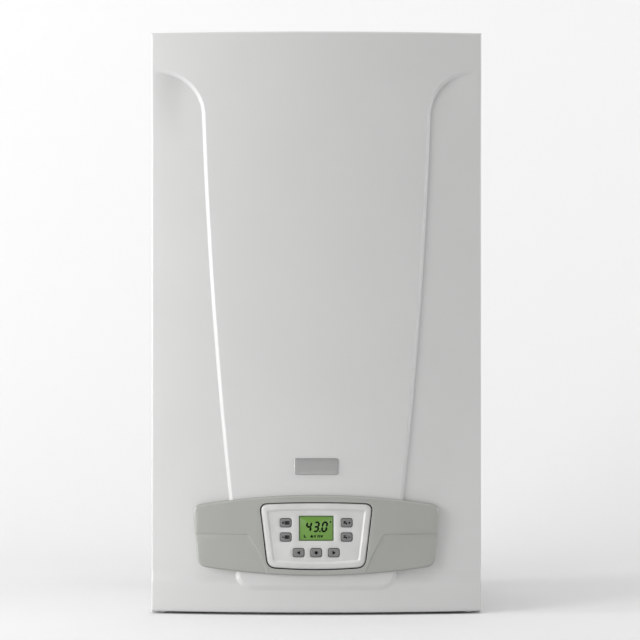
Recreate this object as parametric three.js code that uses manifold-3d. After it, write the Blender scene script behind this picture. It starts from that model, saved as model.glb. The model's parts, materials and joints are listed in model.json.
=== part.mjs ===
// A wall-hung combi boiler: a bowed steel case with a control panel at its foot, and the burner, fan,
// pump, valves and vessel that it holds.
// Millimetres, +Z up. The origin is the middle of the case's foot; -Y is the front, +Y the wall side.

import * as THREE from 'three';
import { mergeVertices } from 'three/addons/utils/BufferGeometryUtils.js';
import Module from 'manifold-3d';

const wasm = await Module();
wasm.setup();

// ---------------------------------------------------------------- driving dimensions

const CASE_W = 400;            // across the side panels
const CASE_D = 299;            // wall to the foremost point of the control bezel
const COVER_H = 700;           // height of the front cover
const COVER_LIFT = 3;          // the cover ends this far above the feet of the side panels
const SHEET = 1.2;             // steel sheet of the cover and side panels
const PLATE = 1.5;             // steel plate of the back and top
const PANEL_FLANGE = 14;       // flange turned in along each side panel
const GAP = 0.3;               // standing gap between touching pieces
const RUN = 0.3;               // running clearance of a pin, shaft or button

const BOW = 18.6;              // how far the front cover bulges between its side edges
const COVER_DEPTH = 42;        // crown of the cover to the edge of its returns
const RELIEF = 5;              // how far the wings lie behind the centre field
const RELIEF_BAND = 5.5;       // width of the slope between field and wings
const RELIEF_RUN_OUT = 40;     // width beside each edge of the cover in which the relief runs out
const FIELD_TOP_HALF = 134.9;  // half-width of the raised field under its upper bend
const FIELD_LOW_HALF = 102.3;   // half-width of the raised field at the control bezel
const FIELD_FOOT_HALF = 95.5;  // half-width where the field's foot starts to taper
const FIELD_TIP_HALF = 81;     // half-width of the field's flat lower edge
const FIELD_TIP_Z = 33.4;      // height of that edge
const FIELD_FOOT_Z = 50.3;
const FIELD_LOW_Z = 149.5;
const FIELD_BEND_DROP = 102.1; // centre of the upper bend, below the cover's top
const FIELD_BEND_R = 57.2;

const BEZEL_PROUD = 6;         // bezel in front of the cover's crown
const BEZEL_MID_TOP = 145;     // upper edge of the bezel in the middle, and at its ends
const BEZEL_END_TOP = 125.2;
const BEZEL_MID_LOW = 48.2;
const BEZEL_END_LOW = 56.7;
const BEZEL_TOP_HALF = 149;
const BEZEL_LOW_HALF = 142.6;
const BEZEL_WALL = 2.2;
const CREASE = 0.8;            // step of the lower half of each wing
const CREASE_Z = 98.4;
const CREASE_X = 81;

const FACIA_TOP = 133.8;       // white control facia, set in the bezel: its corners' height
const FACIA_LOW = 58.8;
const FACIA_RISE = 1.9;        // how far its top edge bows up, and its bottom edge down
const FACIA_SAG = 2.6;
const FACIA_TOP_HALF = 67.4;
const FACIA_LOW_HALF = 58.3;
const FACIA_CORNER = 9;
const FACIA_RIM = 6;           // width of the rim round the recessed keypad
const FACIA_RECESS = 1.2;
const FACIA_WALL = 2.2;
const FACIA_GAP = 1.1;         // open line between facia and bezel
const FACIA_DRAFT = 1.4;       // how much the bezel's opening widens towards the back

const DISPLAY_W = 41.9;
const DISPLAY_H = 30.4;
const DISPLAY_Z = 105.3;
const KEY_W = 14.1;
const KEY_H = 11;
const KEY_TRAVEL = 0.8;
const KEY_SIDE_X = 36.6;
const KEY_UPPER_Z = 111.9;
const KEY_LOWER_Z = 94.75;
const KEY_ROW_Z = 76;
const KEY_ROW_PITCH = 21.1;

const BADGE_W = 53;
const BADGE_H = 19.7;
const BADGE_T = 1.2;
const BADGE_Z = 179.4;
const BADGE_CORNER = 3;

const TRAY_HALF = 148;         // control box behind the facia
const TRAY_Z0 = 52;
const TRAY_Z1 = 186;
const TRAY_CORNER = 6;
const TRAY_SETBACK = 24;       // its front, behind the foremost point of the bezel
const TRAY_BACK = -64;         // its back, from the middle of the case
const TRAY_WALL = 2;
const LID_T = 2;
const TILT_SETBACK = 20.5;     // axis on which the control box tilts, behind the tray's front
const TILT_Z = 50;
const TRUNNION_R = 4;
const BOARD_T = 1.6;
const MAIN_BOARD_SETBACK = 25.5;   // boards behind and in front of the tray's front
const KEY_BOARD_PROUD = 7.5;
const POST_R = 4;

const DECK_Z = 57;             // underside of the bottom plate
const DECK_CLEAR = 6;          // its front edge, behind the control box
const DECK_LIP = 9;
const ARM_CLEAR = 2;           // arms that carry the control box
const ARM_T = 2;
const SCREW_INSET = 15;        // two screws under the cover
const SCREW_SETBACK = 8.5;
const SCREW_R = 2;
const STUD_INSET = 50;         // two studs that carry the cover's top
const STUD_DROP = 14;
const STUD_R = 3;
const HANG = { x: 90, drop: 48, w: 32, h: 13 };   // hanging slots, below the top
const LOWER_HOLE = { inset: 50, z: 92, r: 6 };    // lower fixing holes, in from the sides

const UNION_PITCH = 65;        // pipe connections under the case
const UNION_WALL = 54.5;       // their axis to the wall
const UNION_FOOT_Z = 8;
const UNION_R34 = 13;          // outside radius of a 3/4 inch thread
const UNION_R12 = 10.5;        // outside radius of a 1/2 inch thread
const UNION_WALL_T = 3;
const HEX_H = 12;
const LEVER_Z = 25;
const LEVER_REACH = 23;        // from the union's axis to the lever
const LEVER_T = 3;
const STEM_R = 4;

const MIXER_CLEAR = 25;        // between the cover's wings and the gas mixer
const MIXER_L = 30;
const FAN_D = 42;
const FAN_TO_DRUM = 26;
const FAN_X = -105;
const FAN_DROP = 103;          // its shaft, below the top
const FAN_WALL = 2.5;
const FAN_INLET_R = 30;
const SCROLL_R0 = 50;          // narrow and wide end of the scroll
const SCROLL_R1 = 77;
const SHAFT_R = 4;
const IMPELLER_R = 44;
const BLADES = 10;
const MOTOR_R = 33;
const MOTOR_L = 36;

const DRUM_X = -50;            // stainless exchanger
const DRUM_DROP = 195;         // its axis, below the fan's
const DRUM_R = 115;
const DRUM_WALL_T = 3;
const DRUM_TO_WALL = 11.5;
const DRUM_LIP = 8;
const STUB_DROP = 113;         // feet of its stubs, below its axis
const DOOR_T = 12;
const INLET_R = 30;            // mouth in the door
const FLUE_SETBACK = 44;       // axis of the flue, behind the drum's front
const FLUE_R = 30;             // bore of the exhaust pipe
const FLUE_OUTER_R = 50;       // outside of the air pipe round it
const CAP_R = 40;              // cap on the spare air inlet
const CAP_X = -120;

const VESSEL_T = 88;           // flat expansion vessel
const VESSEL_D = 185;
const VESSEL_CORNER = 62;
const VESSEL_SIDE_CLEAR = 7;
const VESSEL_WALL_CLEAR = 9.5;
const VESSEL_LIFT = 29;        // above the control box
const VESSEL_DROP = 63;        // below the top

const BLOCK_LIFT = 5;          // water blocks stand on the unions
const BLOCK_H = 118;
const BLOCK_FRONT = 35;        // in front of the unions' axis
const BLOCK_REAR = 30;
const BLOCK_HALF = 35;
const PLATE_PITCH = 6.6;       // plate heat exchanger
const PLATE_GAPS = 6;
const PLATE_T = 2;
const PLATES_H = 74;
const PUMP_R = 42;
const PUMP_CLEAR = 16;         // behind the control box
const PUMP_NECK = 9;
const VALVE_INSET = 50;        // gas valve, in from the side
const VALVE_SETBACK = 42;
const VALVE_LIFT = 14;
const VALVE_H = 62;
const VALVE_HALF = 28;
const VALVE_END = 8;           // its inlet and outlet
const GAUGE_X = -60;
const GAUGE_R = 20;
const GAUGE_SETBACK = 28;
const DIAL_Z = 52.5;
const TRAP_X = 45;
const TRAP_R = 26;
const TRAP_SPIGOT_R = 11;
const CABLE_ENTRY_R = 9;
const PIPE_R = 8;

// ---------------------------------------------------------------- derived places

const CASE_X = CASE_W / 2;
const FRONT_Y = -CASE_D / 2;
const WALL_Y = CASE_D / 2;
const TOP_Z = COVER_LIFT + COVER_H;
const CROWN_Y = FRONT_Y + BEZEL_PROUD;
const RETURN_Y = CROWN_Y + COVER_DEPTH;
const BOW_R = (CASE_X * CASE_X + BOW * BOW) / (2 * BOW);
const INSIDE_X = CASE_X - SHEET - GAP;    // plates between the side panels reach this far
const REAR_Y = WALL_Y - PLATE - GAP;      // and as far as the back plate
const FIELD_BEND_Z = TOP_Z - FIELD_BEND_DROP;

const TRAY_FRONT = FRONT_Y + TRAY_SETBACK;
const FACIA_BACK = TRAY_FRONT - GAP;
const TILT_Y = TRAY_FRONT + TILT_SETBACK;
const BOARD_Y = TRAY_FRONT + MAIN_BOARD_SETBACK;
const KEY_BOARD_Y = TRAY_FRONT - KEY_BOARD_PROUD;
const LID_BACK = TRAY_BACK + GAP + LID_T;
const ARM_X = TRAY_HALF + ARM_CLEAR;
const DECK_FRONT = TRAY_BACK + DECK_CLEAR;
const DECK_TOP = DECK_Z + SHEET;
const SCREW_X = CASE_X - SCREW_INSET;
const SCREW_Y = RETURN_Y - SCREW_SETBACK;
const STUD_X = CASE_X - STUD_INSET;
const STUD_Z = TOP_Z - STUD_DROP;

const UNION_Y = WALL_Y - UNION_WALL;
const LEVER_STEM_Y = UNION_Y - LEVER_REACH;
const BLOCK_Y0 = UNION_Y - BLOCK_FRONT;
const BLOCK_Y1 = UNION_Y + BLOCK_REAR;
const BLOCK_Z0 = DECK_Z + BLOCK_LIFT;
const BLOCK_Z1 = BLOCK_Z0 + BLOCK_H;
const PLATES_Z0 = BLOCK_Z0 + 28;
const PLATES_FRONT = BLOCK_Y0 - GAP - PLATE_GAPS * PLATE_PITCH - PLATE_T;

const MIXER_FRONT = CROWN_Y + SHEET + RELIEF + MIXER_CLEAR;
const FAN = { x: FAN_X, z: TOP_Z - FAN_DROP, front: MIXER_FRONT + MIXER_L + GAP };
FAN.back = FAN.front + FAN_D;
const HX = { x: DRUM_X, z: FAN.z - DRUM_DROP, r: DRUM_R, front: FAN.back + FAN_TO_DRUM };
HX.back = WALL_Y - DRUM_TO_WALL;
const DOOR_FRONT = HX.front - DOOR_T;
const FLUE = { x: 0, y: HX.front + FLUE_SETBACK, r: FLUE_R };
const FLUE_FOOT = HX.z + HX.r + 26;
const CAP = { x: CAP_X, y: FLUE.y, r: CAP_R };
const STUB_FOOT = HX.z - STUB_DROP;
const STUBS = {
  flow: { x: HX.x - 60, y: HX.back - 33, r: 12 },
  back: { x: HX.x + 70, y: HX.back - 33, r: 12 },
  drain: { x: HX.x + 60, y: HX.front + 29, r: 10 },
};
const ELECTRODE = { x: HX.x + 50, z: HX.z + 40, r: 5 };
const DUCT = { x0: FAN.x + 33, x1: FAN.x + SCROLL_R1, y0: FAN.front, y1: FAN.back, joint: HX.z + 47 };
const MIXER_STUB = { x: FAN.x - 22, y: MIXER_FRONT + MIXER_L / 2, z: FAN.z - 44 };

const VESSEL = {
  x0: CASE_X - VESSEL_SIDE_CLEAR - VESSEL_T,
  x1: CASE_X - VESSEL_SIDE_CLEAR,
  y0: WALL_Y - VESSEL_WALL_CLEAR - VESSEL_D,
  y1: WALL_Y - VESSEL_WALL_CLEAR,
  z0: TRAY_Z1 + VESSEL_LIFT,
  z1: TOP_Z - VESSEL_DROP,
};
const PUMP = { x: 2 * UNION_PITCH, z: BLOCK_Z0 + 58, r: PUMP_R, front: TRAY_BACK + PUMP_CLEAR };
const VALVE = { x: VALVE_INSET - CASE_X, y: TRAY_BACK + VALVE_SETBACK, z0: TRAY_Z1 + VALVE_LIFT };
VALVE.z1 = VALVE.z0 + VALVE_H;
const RELIEF_VALVE = { x: -2 * UNION_PITCH - 17, z: BLOCK_Z0 + 38 };
const GAUGE = { x: GAUGE_X, y: DECK_FRONT + GAUGE_SETBACK, r: GAUGE_R, foot: DECK_Z - 11 };
const TRAP = { x: TRAP_X, y: (LID_BACK + PLATES_FRONT) / 2, r: TRAP_R, top: BLOCK_Z1 + 35 };
const CABLE_ENTRY = { x: ARM_X + ARM_T + 13, y: DECK_FRONT + 28, r: CABLE_ENTRY_R };

const KEYS = [
  { name: 'button_mode', x: -KEY_SIDE_X, z: KEY_UPPER_Z },
  { name: 'button_reset', x: -KEY_SIDE_X, z: KEY_LOWER_Z },
  { name: 'button_heating', x: KEY_SIDE_X, z: KEY_UPPER_Z },
  { name: 'button_hot_water', x: KEY_SIDE_X, z: KEY_LOWER_Z },
  { name: 'button_down', x: -KEY_ROW_PITCH, z: KEY_ROW_Z },
  { name: 'button_ok', x: 0, z: KEY_ROW_Z },
  { name: 'button_up', x: KEY_ROW_PITCH, z: KEY_ROW_Z },
];

const UNIONS = [
  { name: 'union_heating_flow', x: -2 * UNION_PITCH, r: UNION_R34, lever: 'lever_heating_flow' },
  { name: 'union_hot_water', x: -UNION_PITCH, r: UNION_R12 },
  { name: 'union_gas', x: 0, r: UNION_R34, lever: 'lever_gas' },
  { name: 'union_cold_water', x: UNION_PITCH, r: UNION_R12 },
  { name: 'union_heating_return', x: 2 * UNION_PITCH, r: UNION_R34, lever: 'lever_heating_return' },
];

// ---------------------------------------------------------------- making and joining solids

// A closed three.js geometry as a solid that can be cut and joined.
function toSolid(geometry) {
  const bare = geometry.index ? geometry.toNonIndexed() : geometry.clone();
  bare.deleteAttribute('normal');
  bare.deleteAttribute('uv');
  const merged = mergeVertices(bare, 1e-4);
  return new wasm.Manifold(new wasm.Mesh({
    numProp: 3,
    vertProperties: new Float32Array(merged.attributes.position.array),
    triVerts: new Uint32Array(merged.index.array),
  }));
}

function toGeometry(solid) {
  const mesh = solid.getMesh();
  const geometry = new THREE.BufferGeometry();
  geometry.setAttribute('position', new THREE.BufferAttribute(new Float32Array(mesh.vertProperties), 3));
  geometry.setIndex(new THREE.BufferAttribute(new Uint32Array(mesh.triVerts), 1));
  geometry.computeVertexNormals();
  return geometry;
}

function fuse(...pieces) {
  return toGeometry(pieces.map(toSolid).reduce((sum, piece) => sum.add(piece)));
}

function cut(body, ...tools) {
  return toGeometry(tools.map(toSolid).reduce((rest, tool) => rest.subtract(tool), toSolid(body)));
}

function common(a, b) {
  return toGeometry(toSolid(a).intersect(toSolid(b)));
}

// A box between two opposite corners.
function box(x0, y0, z0, x1, y1, z1) {
  const geometry = new THREE.BoxGeometry(Math.abs(x1 - x0), Math.abs(y1 - y0), Math.abs(z1 - z0));
  return geometry.translate((x0 + x1) / 2, (y0 + y1) / 2, (z0 + z1) / 2);
}

// A flat outline drawn in the plane square to an axis and carried along it: (x, y) along Z,
// (x, z) along Y and (y, z) along X.
function prism(outline, axis, from, to, curveSegments = 2) {
  const low = Math.min(from, to);
  const depth = Math.abs(to - from);
  const solid = new THREE.ExtrudeGeometry(outline, { depth, bevelEnabled: false, curveSegments });
  if (axis === 'Z') return solid.translate(0, 0, low);
  if (axis === 'Y') return solid.rotateX(Math.PI / 2).translate(0, low + depth, 0);
  const basis = new THREE.Matrix4().makeBasis(
    new THREE.Vector3(0, 1, 0), new THREE.Vector3(0, 0, 1), new THREE.Vector3(1, 0, 0));
  return solid.applyMatrix4(basis).translate(low, 0, 0);
}

// A revolved profile of [radius, height along the axis] points, drawn either way round.
function revolved(profile, axis, x, y, z, segments = 16) {
  const points = profile.map(([radius, along]) => new THREE.Vector2(radius, along));
  if (THREE.ShapeUtils.area(points) < 0) points.reverse();
  const solid = new THREE.LatheGeometry(points, segments);
  if (axis === 'Z') solid.rotateX(Math.PI / 2);
  if (axis === 'X') solid.rotateZ(-Math.PI / 2);
  return solid.translate(x, y, z);
}

// A plain rod of radius r on an axis, from one place to another along it.
function rod(axis, x, y, z, r, from, to, segments = 12) {
  return revolved([[0, from], [r, from], [r, to], [0, to]], axis, x, y, z, segments);
}

// A ring or pipe on an axis.
function sleeve(axis, x, y, z, inner, outer, from, to, segments = 16) {
  const profile = [[inner, from], [outer, from], [outer, to], [inner, to], [inner, from]];
  return revolved(profile, axis, x, y, z, segments);
}

// A round pipe along a smooth route of [x, y, z] points.
function pipe(route, radius, steps) {
  const section = new THREE.Shape();
  section.absarc(0, 0, radius, 0, Math.PI * 2);
  const points = route.map((point) => new THREE.Vector3(...point));
  const extrudePath = new THREE.CatmullRomCurve3(points, false, 'centripetal');
  return new THREE.ExtrudeGeometry(section, { steps, curveSegments: 4, extrudePath });
}

// An outline through [a, b, corner radius] points, its corners rounded.
function outline(points) {
  const shape = new THREE.Shape();
  const count = points.length;
  points.forEach(([a, b, radius = 0], i) => {
    const corner = new THREE.Vector2(a, b);
    const before = new THREE.Vector2(...points[(i + count - 1) % count].slice(0, 2));
    const after = new THREE.Vector2(...points[(i + 1) % count].slice(0, 2));
    const enter = corner.clone().lerp(before, Math.min(0.49, radius / corner.distanceTo(before)));
    const leave = corner.clone().lerp(after, Math.min(0.49, radius / corner.distanceTo(after)));
    if (i === 0) shape.moveTo(enter.x, enter.y);
    else shape.lineTo(enter.x, enter.y);
    if (radius > 0) shape.quadraticCurveTo(corner.x, corner.y, leave.x, leave.y);
  });
  shape.closePath();
  return shape;
}

function roundedRectangle(a0, b0, a1, b1, radius) {
  return outline([[a0, b0, radius], [a1, b0, radius], [a1, b1, radius], [a0, b1, radius]]);
}

// ---------------------------------------------------------------- the bowed front

// How far the bowed front lies behind its crown at a distance x from the middle.
function bowAt(x) {
  return BOW_R - Math.sqrt(BOW_R * BOW_R - x * x);
}

// Everything behind a bowed sheet whose crown is at crownY, as a slab across the case.
function bowedSlab(crownY, backY, half = CASE_X, z0 = 0, z1 = TOP_Z, columns = 16) {
  const shape = new THREE.Shape();
  shape.moveTo(half, backY);
  shape.lineTo(-half, backY);
  for (let i = 0; i <= columns; i += 1) {
    const x = -half + (2 * half * i) / columns;
    shape.lineTo(x, crownY + bowAt(x));
  }
  shape.closePath();
  return prism(shape, 'Z', z0, z1);
}

function smooth(t) {
  const s = Math.min(1, Math.max(0, t));
  return s * s * (3 - 2 * s);
}

// Half-width of the raised field below its upper bend.
function fieldHalf(z) {
  if (z < FIELD_FOOT_Z) {
    const t = (z - FIELD_TIP_Z) / (FIELD_FOOT_Z - FIELD_TIP_Z);
    return FIELD_TIP_HALF + (FIELD_FOOT_HALF - FIELD_TIP_HALF) * Math.max(0, t);
  }
  if (z < FIELD_LOW_Z) {
    const t = (z - FIELD_FOOT_Z) / (FIELD_LOW_Z - FIELD_FOOT_Z);
    return FIELD_FOOT_HALF + (FIELD_LOW_HALF - FIELD_FOOT_HALF) * t;
  }
  const t = (FIELD_BEND_Z - z) / (FIELD_BEND_Z - FIELD_LOW_Z);
  return FIELD_TOP_HALF - (FIELD_TOP_HALF - FIELD_LOW_HALF) * (0.5 * t + 0.5 * t * t);
}

// x of the line that runs `out` outside the field's edge.
function fieldEdge(z, out) {
  if (z <= FIELD_BEND_Z) return fieldHalf(z) + out;
  const centreX = fieldHalf(FIELD_BEND_Z) + FIELD_BEND_R;
  const r = FIELD_BEND_R - out;
  const up = z - FIELD_BEND_Z;
  return centreX - (up < r ? Math.sqrt(r * r - up * up) : 0);
}

// How far a point of the cover lies outside the field's edge.
function outsideField(x, z) {
  if (z <= FIELD_BEND_Z) return Math.max(x - fieldHalf(z), FIELD_TIP_Z - z);
  const centreX = fieldHalf(FIELD_BEND_Z) + FIELD_BEND_R;
  const up = z - FIELD_BEND_Z;
  return x < centreX ? FIELD_BEND_R - Math.hypot(centreX - x, up) : FIELD_BEND_R - up;
}

// Depth of the relief: the wings lie back by RELIEF, and run out where the bend meets the side.
function reliefAt(x, z) {
  const side = Math.abs(x);
  const bendUp = (z - FIELD_BEND_Z + 0.35 * FIELD_BEND_R) / (1.33 * FIELD_BEND_R);
  const runOut = smooth((side - CASE_X + RELIEF_RUN_OUT) / RELIEF_RUN_OUT) * smooth(bendUp);
  return RELIEF * smooth(outsideField(side, z) / RELIEF_BAND) * (1 - runOut);
}

// The cover's outer form, from its pressed front to the plane of its returns, drawn in by `inset`
// on every face: 0 is the outer face, a sheet's thickness the inner one.
function coverForm(inset, backY) {
  const half = CASE_X - inset;
  const low = COVER_LIFT + inset;
  const high = TOP_Z - inset;
  const band = RELIEF_BAND;
  const arcRows = [15, 30, 45, 55].map((a) => FIELD_BEND_Z + FIELD_BEND_R * Math.sin(a * Math.PI / 180));
  const bandRows = [band, band / 2, 0].map((b) => FIELD_BEND_Z + FIELD_BEND_R - b);
  const plainRows = [];
  for (let i = 1; i < 5; i += 1) plainRows.push(FIELD_LOW_Z + ((FIELD_BEND_Z - FIELD_LOW_Z) * i) / 5);
  const rows = [low, FIELD_TIP_Z - band, FIELD_TIP_Z - band / 2, FIELD_TIP_Z, FIELD_FOOT_Z,
    (FIELD_FOOT_Z + FIELD_LOW_Z) / 2, FIELD_LOW_Z, ...plainRows, FIELD_BEND_Z, ...arcRows, ...bandRows,
    high];
  const positions = [];
  const columnsOf = (z) => {
    const u = fieldEdge(z, 0);
    const edge = fieldEdge(z, band);
    const halfRow = [u / 3, (2 * u) / 3, u, fieldEdge(z, band / 2), edge, (edge + half) / 2, half];
    for (let i = halfRow.length - 2; i >= 0; i -= 1) {
      halfRow[i] = Math.min(halfRow[i], halfRow[i + 1] - 0.8);
    }
    return [...halfRow.map((x) => -x).reverse(), 0, ...halfRow];
  };
  const across = columnsOf(low).length;
  rows.forEach((z) => columnsOf(z).forEach((x) => {
    positions.push(x, CROWN_Y + inset + bowAt(x) + reliefAt(x, z), z);
  }));
  const faces = [];
  const at = (row, column) => row * across + column;
  for (let r = 0; r < rows.length - 1; r += 1) {
    for (let c = 0; c < across - 1; c += 1) {
      faces.push(at(r, c), at(r, c + 1), at(r + 1, c + 1), at(r, c), at(r + 1, c + 1), at(r + 1, c));
    }
  }
  // The border of the front, anticlockwise from the front, is carried straight back and closed.
  const border = [];
  for (let c = 0; c < across - 1; c += 1) border.push(at(0, c));
  for (let r = 0; r < rows.length - 1; r += 1) border.push(at(r, across - 1));
  for (let c = across - 1; c > 0; c -= 1) border.push(at(rows.length - 1, c));
  for (let r = rows.length - 1; r > 0; r -= 1) border.push(at(r, 0));
  const first = positions.length / 3;
  border.forEach((v) => positions.push(positions[3 * v], backY, positions[3 * v + 2]));
  const centre = positions.length / 3;
  positions.push(0, backY, (low + high) / 2);
  border.forEach((v, i) => {
    const next = (i + 1) % border.length;
    faces.push(v, first + i, first + next, v, first + next, border[next]);
    faces.push(first + next, first + i, centre);
  });
  const geometry = new THREE.BufferGeometry();
  geometry.setAttribute('position', new THREE.Float32BufferAttribute(positions, 3));
  geometry.setIndex(faces);
  return geometry;
}

// The control opening's outline, grown by `grow` past the facia.
function faciaOutline(grow, corner = FACIA_CORNER + grow) {
  const lean = (FACIA_TOP_HALF - FACIA_LOW_HALF) / (FACIA_TOP - FACIA_LOW);
  const top = FACIA_TOP_HALF + grow * (1 + lean);
  const low = FACIA_LOW_HALF + grow * (1 - lean);
  const edge = (half, z, bow) => [-0.5, 0, 0.5].map((t) => [half * t, z + bow * (1 - t * t)]);
  return outline([[-low, FACIA_LOW - grow, corner], ...edge(low, FACIA_LOW - grow, -FACIA_SAG),
    [low, FACIA_LOW - grow, corner], [top, FACIA_TOP + grow, corner],
    ...edge(top, FACIA_TOP + grow, FACIA_RISE).reverse(), [-top, FACIA_TOP + grow, corner]]);
}

// The bezel's winged outline, drawn in by `inset`.
function bezelOutline(inset) {
  const shape = new THREE.Shape();
  const topHalf = BEZEL_TOP_HALF - inset;
  const lowHalf = BEZEL_LOW_HALF - inset;
  const shoulder = BEZEL_END_TOP - inset;
  const corner = 5;
  shape.moveTo(-lowHalf + corner, BEZEL_END_LOW + inset);
  shape.quadraticCurveTo(0, 2 * (BEZEL_MID_LOW + inset) - (BEZEL_END_LOW + inset),
    lowHalf - corner, BEZEL_END_LOW + inset);
  shape.quadraticCurveTo(lowHalf, BEZEL_END_LOW + inset, lowHalf + 0.4, BEZEL_END_LOW + inset + corner);
  shape.lineTo(topHalf, shoulder - corner);
  shape.quadraticCurveTo(topHalf, shoulder, topHalf - corner, shoulder + 1);
  shape.bezierCurveTo(topHalf - 45, BEZEL_MID_TOP - inset - 2, 60, BEZEL_MID_TOP - inset,
    0, BEZEL_MID_TOP - inset);
  shape.bezierCurveTo(-60, BEZEL_MID_TOP - inset, -topHalf + 45, BEZEL_MID_TOP - inset - 2,
    -topHalf + corner, shoulder + 1);
  shape.quadraticCurveTo(-topHalf, shoulder, -topHalf, shoulder - corner);
  shape.lineTo(-lowHalf - 0.4, BEZEL_END_LOW + inset + corner);
  shape.quadraticCurveTo(-lowHalf, BEZEL_END_LOW + inset, -lowHalf + corner, BEZEL_END_LOW + inset);
  return shape;
}

// The pressed steel cover with its returns, the control cut-out, two screw slots that are open to the
// back, and two sockets that slide over the case's studs.
function frontCover() {
  const shell = cut(coverForm(0, RETURN_Y), coverForm(SHEET, RETURN_Y + 5));
  const cutOut = prism(faciaOutline(FACIA_GAP + FACIA_DRAFT + BEZEL_WALL + GAP), 'Y', CROWN_Y - 5,
    TRAY_FRONT);
  const slotHalf = SCREW_R + 2 * RUN;
  const slots = [-1, 1].map((side) => box(side * SCREW_X - slotHalf, SCREW_Y - slotHalf, 0,
    side * SCREW_X + slotHalf, RETURN_Y + 1, COVER_LIFT + 2 * SCREW_R + SHEET));
  const socketHalf = STUD_R + 5;
  const sockets = [-1, 1].map((side) => cut(
    box(side * STUD_X - socketHalf, RETURN_Y - 14, STUD_Z - socketHalf, side * STUD_X + socketHalf,
      RETURN_Y - 2, TOP_Z - SHEET / 2),
    rod('Y', side * STUD_X, 0, STUD_Z, STUD_R + RUN, RETURN_Y - 20, RETURN_Y)));
  return fuse(cut(shell, cutOut, ...slots), ...sockets);
}

// The grey winged bezel: a thin moulding with a wall round its edge and a drafted sleeve round the
// control opening, seated on the cover's pressed face.
function controlBezel() {
  const slab = (back) => bowedSlab(FRONT_Y + back, RETURN_Y, BEZEL_TOP_HALF + 2, 0, 160, 8);
  const outer = common(prism(bezelOutline(0), 'Y', FRONT_Y - 5, RETURN_Y, 4), slab(0));
  const hollow = cut(common(prism(bezelOutline(BEZEL_WALL), 'Y', FRONT_Y - 5, RETURN_Y + 1, 3),
    slab(BEZEL_WALL)), prism(faciaOutline(FACIA_GAP + FACIA_DRAFT + BEZEL_WALL), 'Y', FRONT_Y - 9,
    RETURN_Y + 2));
  const wing = (side) => prism(outline([[side * CREASE_X, CREASE_Z], [side * (CREASE_X - 14), 70],
    [side * (CREASE_X - 20), 30], [side * 170, 30], [side * 170, CREASE_Z]]), 'Y', FRONT_Y - 5, FRONT_Y + 30);
  const wingBack = bowedSlab(FRONT_Y + CREASE, RETURN_Y, BEZEL_TOP_HALF + 9, 0, 160, 8);
  const steps = [-1, 1].map((side) => cut(wing(side), wingBack));
  const opening = draftedOpening();
  const seat = coverForm(-GAP, RETURN_Y + 3);
  const moulding = cut(outer, hollow, ...steps, opening);
  const sleeveOutline = faciaOutline(FACIA_GAP + FACIA_DRAFT + BEZEL_WALL);
  const collar = cut(common(prism(sleeveOutline, 'Y', CROWN_Y + BEZEL_PROUD / 2 - 4, CROWN_Y + 4),
    bowedSlab(CROWN_Y - 4, CROWN_Y + 4, FACIA_TOP_HALF + 22, 40, 150, 8)), opening);
  return fuse(cut(moulding, seat), collar);
}

// The opening in the bezel, which widens a little towards the back.
function draftedOpening() {
  const front = faciaOutline(FACIA_GAP).getPoints(4);
  const back = faciaOutline(FACIA_GAP + FACIA_DRAFT).getPoints(4);
  return loft(front, FRONT_Y - 2, back, CROWN_Y + 8);
}

// A solid between two like outlines in planes square to Y.
function loft(front, frontY, back, backY) {
  const clean = (points) => points.filter((p, i) => p.distanceTo(points[(i + 1) % points.length]) > 1e-3);
  const a = clean(front);
  const b = clean(back);
  const n = a.length;
  const positions = [...a.flatMap((p) => [p.x, frontY, p.y]), ...b.flatMap((p) => [p.x, backY, p.y])];
  const centreA = positions.length / 3;
  const middle = a.reduce((sum, p) => sum.add(p), new THREE.Vector2()).divideScalar(n);
  positions.push(middle.x, frontY, middle.y, middle.x, backY, middle.y);
  const faces = [];
  for (let i = 0; i < n; i += 1) {
    const j = (i + 1) % n;
    faces.push(i, n + j, n + i, i, j, n + j);
    faces.push(centreA, j, i, centreA + 1, n + i, n + j);
  }
  const geometry = new THREE.BufferGeometry();
  geometry.setAttribute('position', new THREE.Float32BufferAttribute(positions, 3));
  geometry.setIndex(faces);
  return toSolid(geometry).volume() > 0 ? geometry : flipped(geometry);
}

function flipped(geometry) {
  const index = geometry.index.array;
  for (let i = 0; i < index.length; i += 3) [index[i + 1], index[i + 2]] = [index[i + 2], index[i + 1]];
  return geometry;
}

// The plate under the centre field, bent to the cover's bow.
function badgePlate() {
  const half = BADGE_W / 2;
  const low = BADGE_Z - BADGE_H / 2;
  const high = BADGE_Z + BADGE_H / 2;
  const blank = prism(roundedRectangle(-half, low, half, high, BADGE_CORNER), 'Y', CROWN_Y - 5, CROWN_Y + 5);
  const bent = cut(bowedSlab(CROWN_Y - GAP - BADGE_T, CROWN_Y + 5, half + 5, low - 5, high + 5, 6),
    bowedSlab(CROWN_Y - GAP, CROWN_Y + 6, half + 6, low - 6, high + 6, 6));
  return common(blank, bent);
}

// ---------------------------------------------------------------- case

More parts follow.
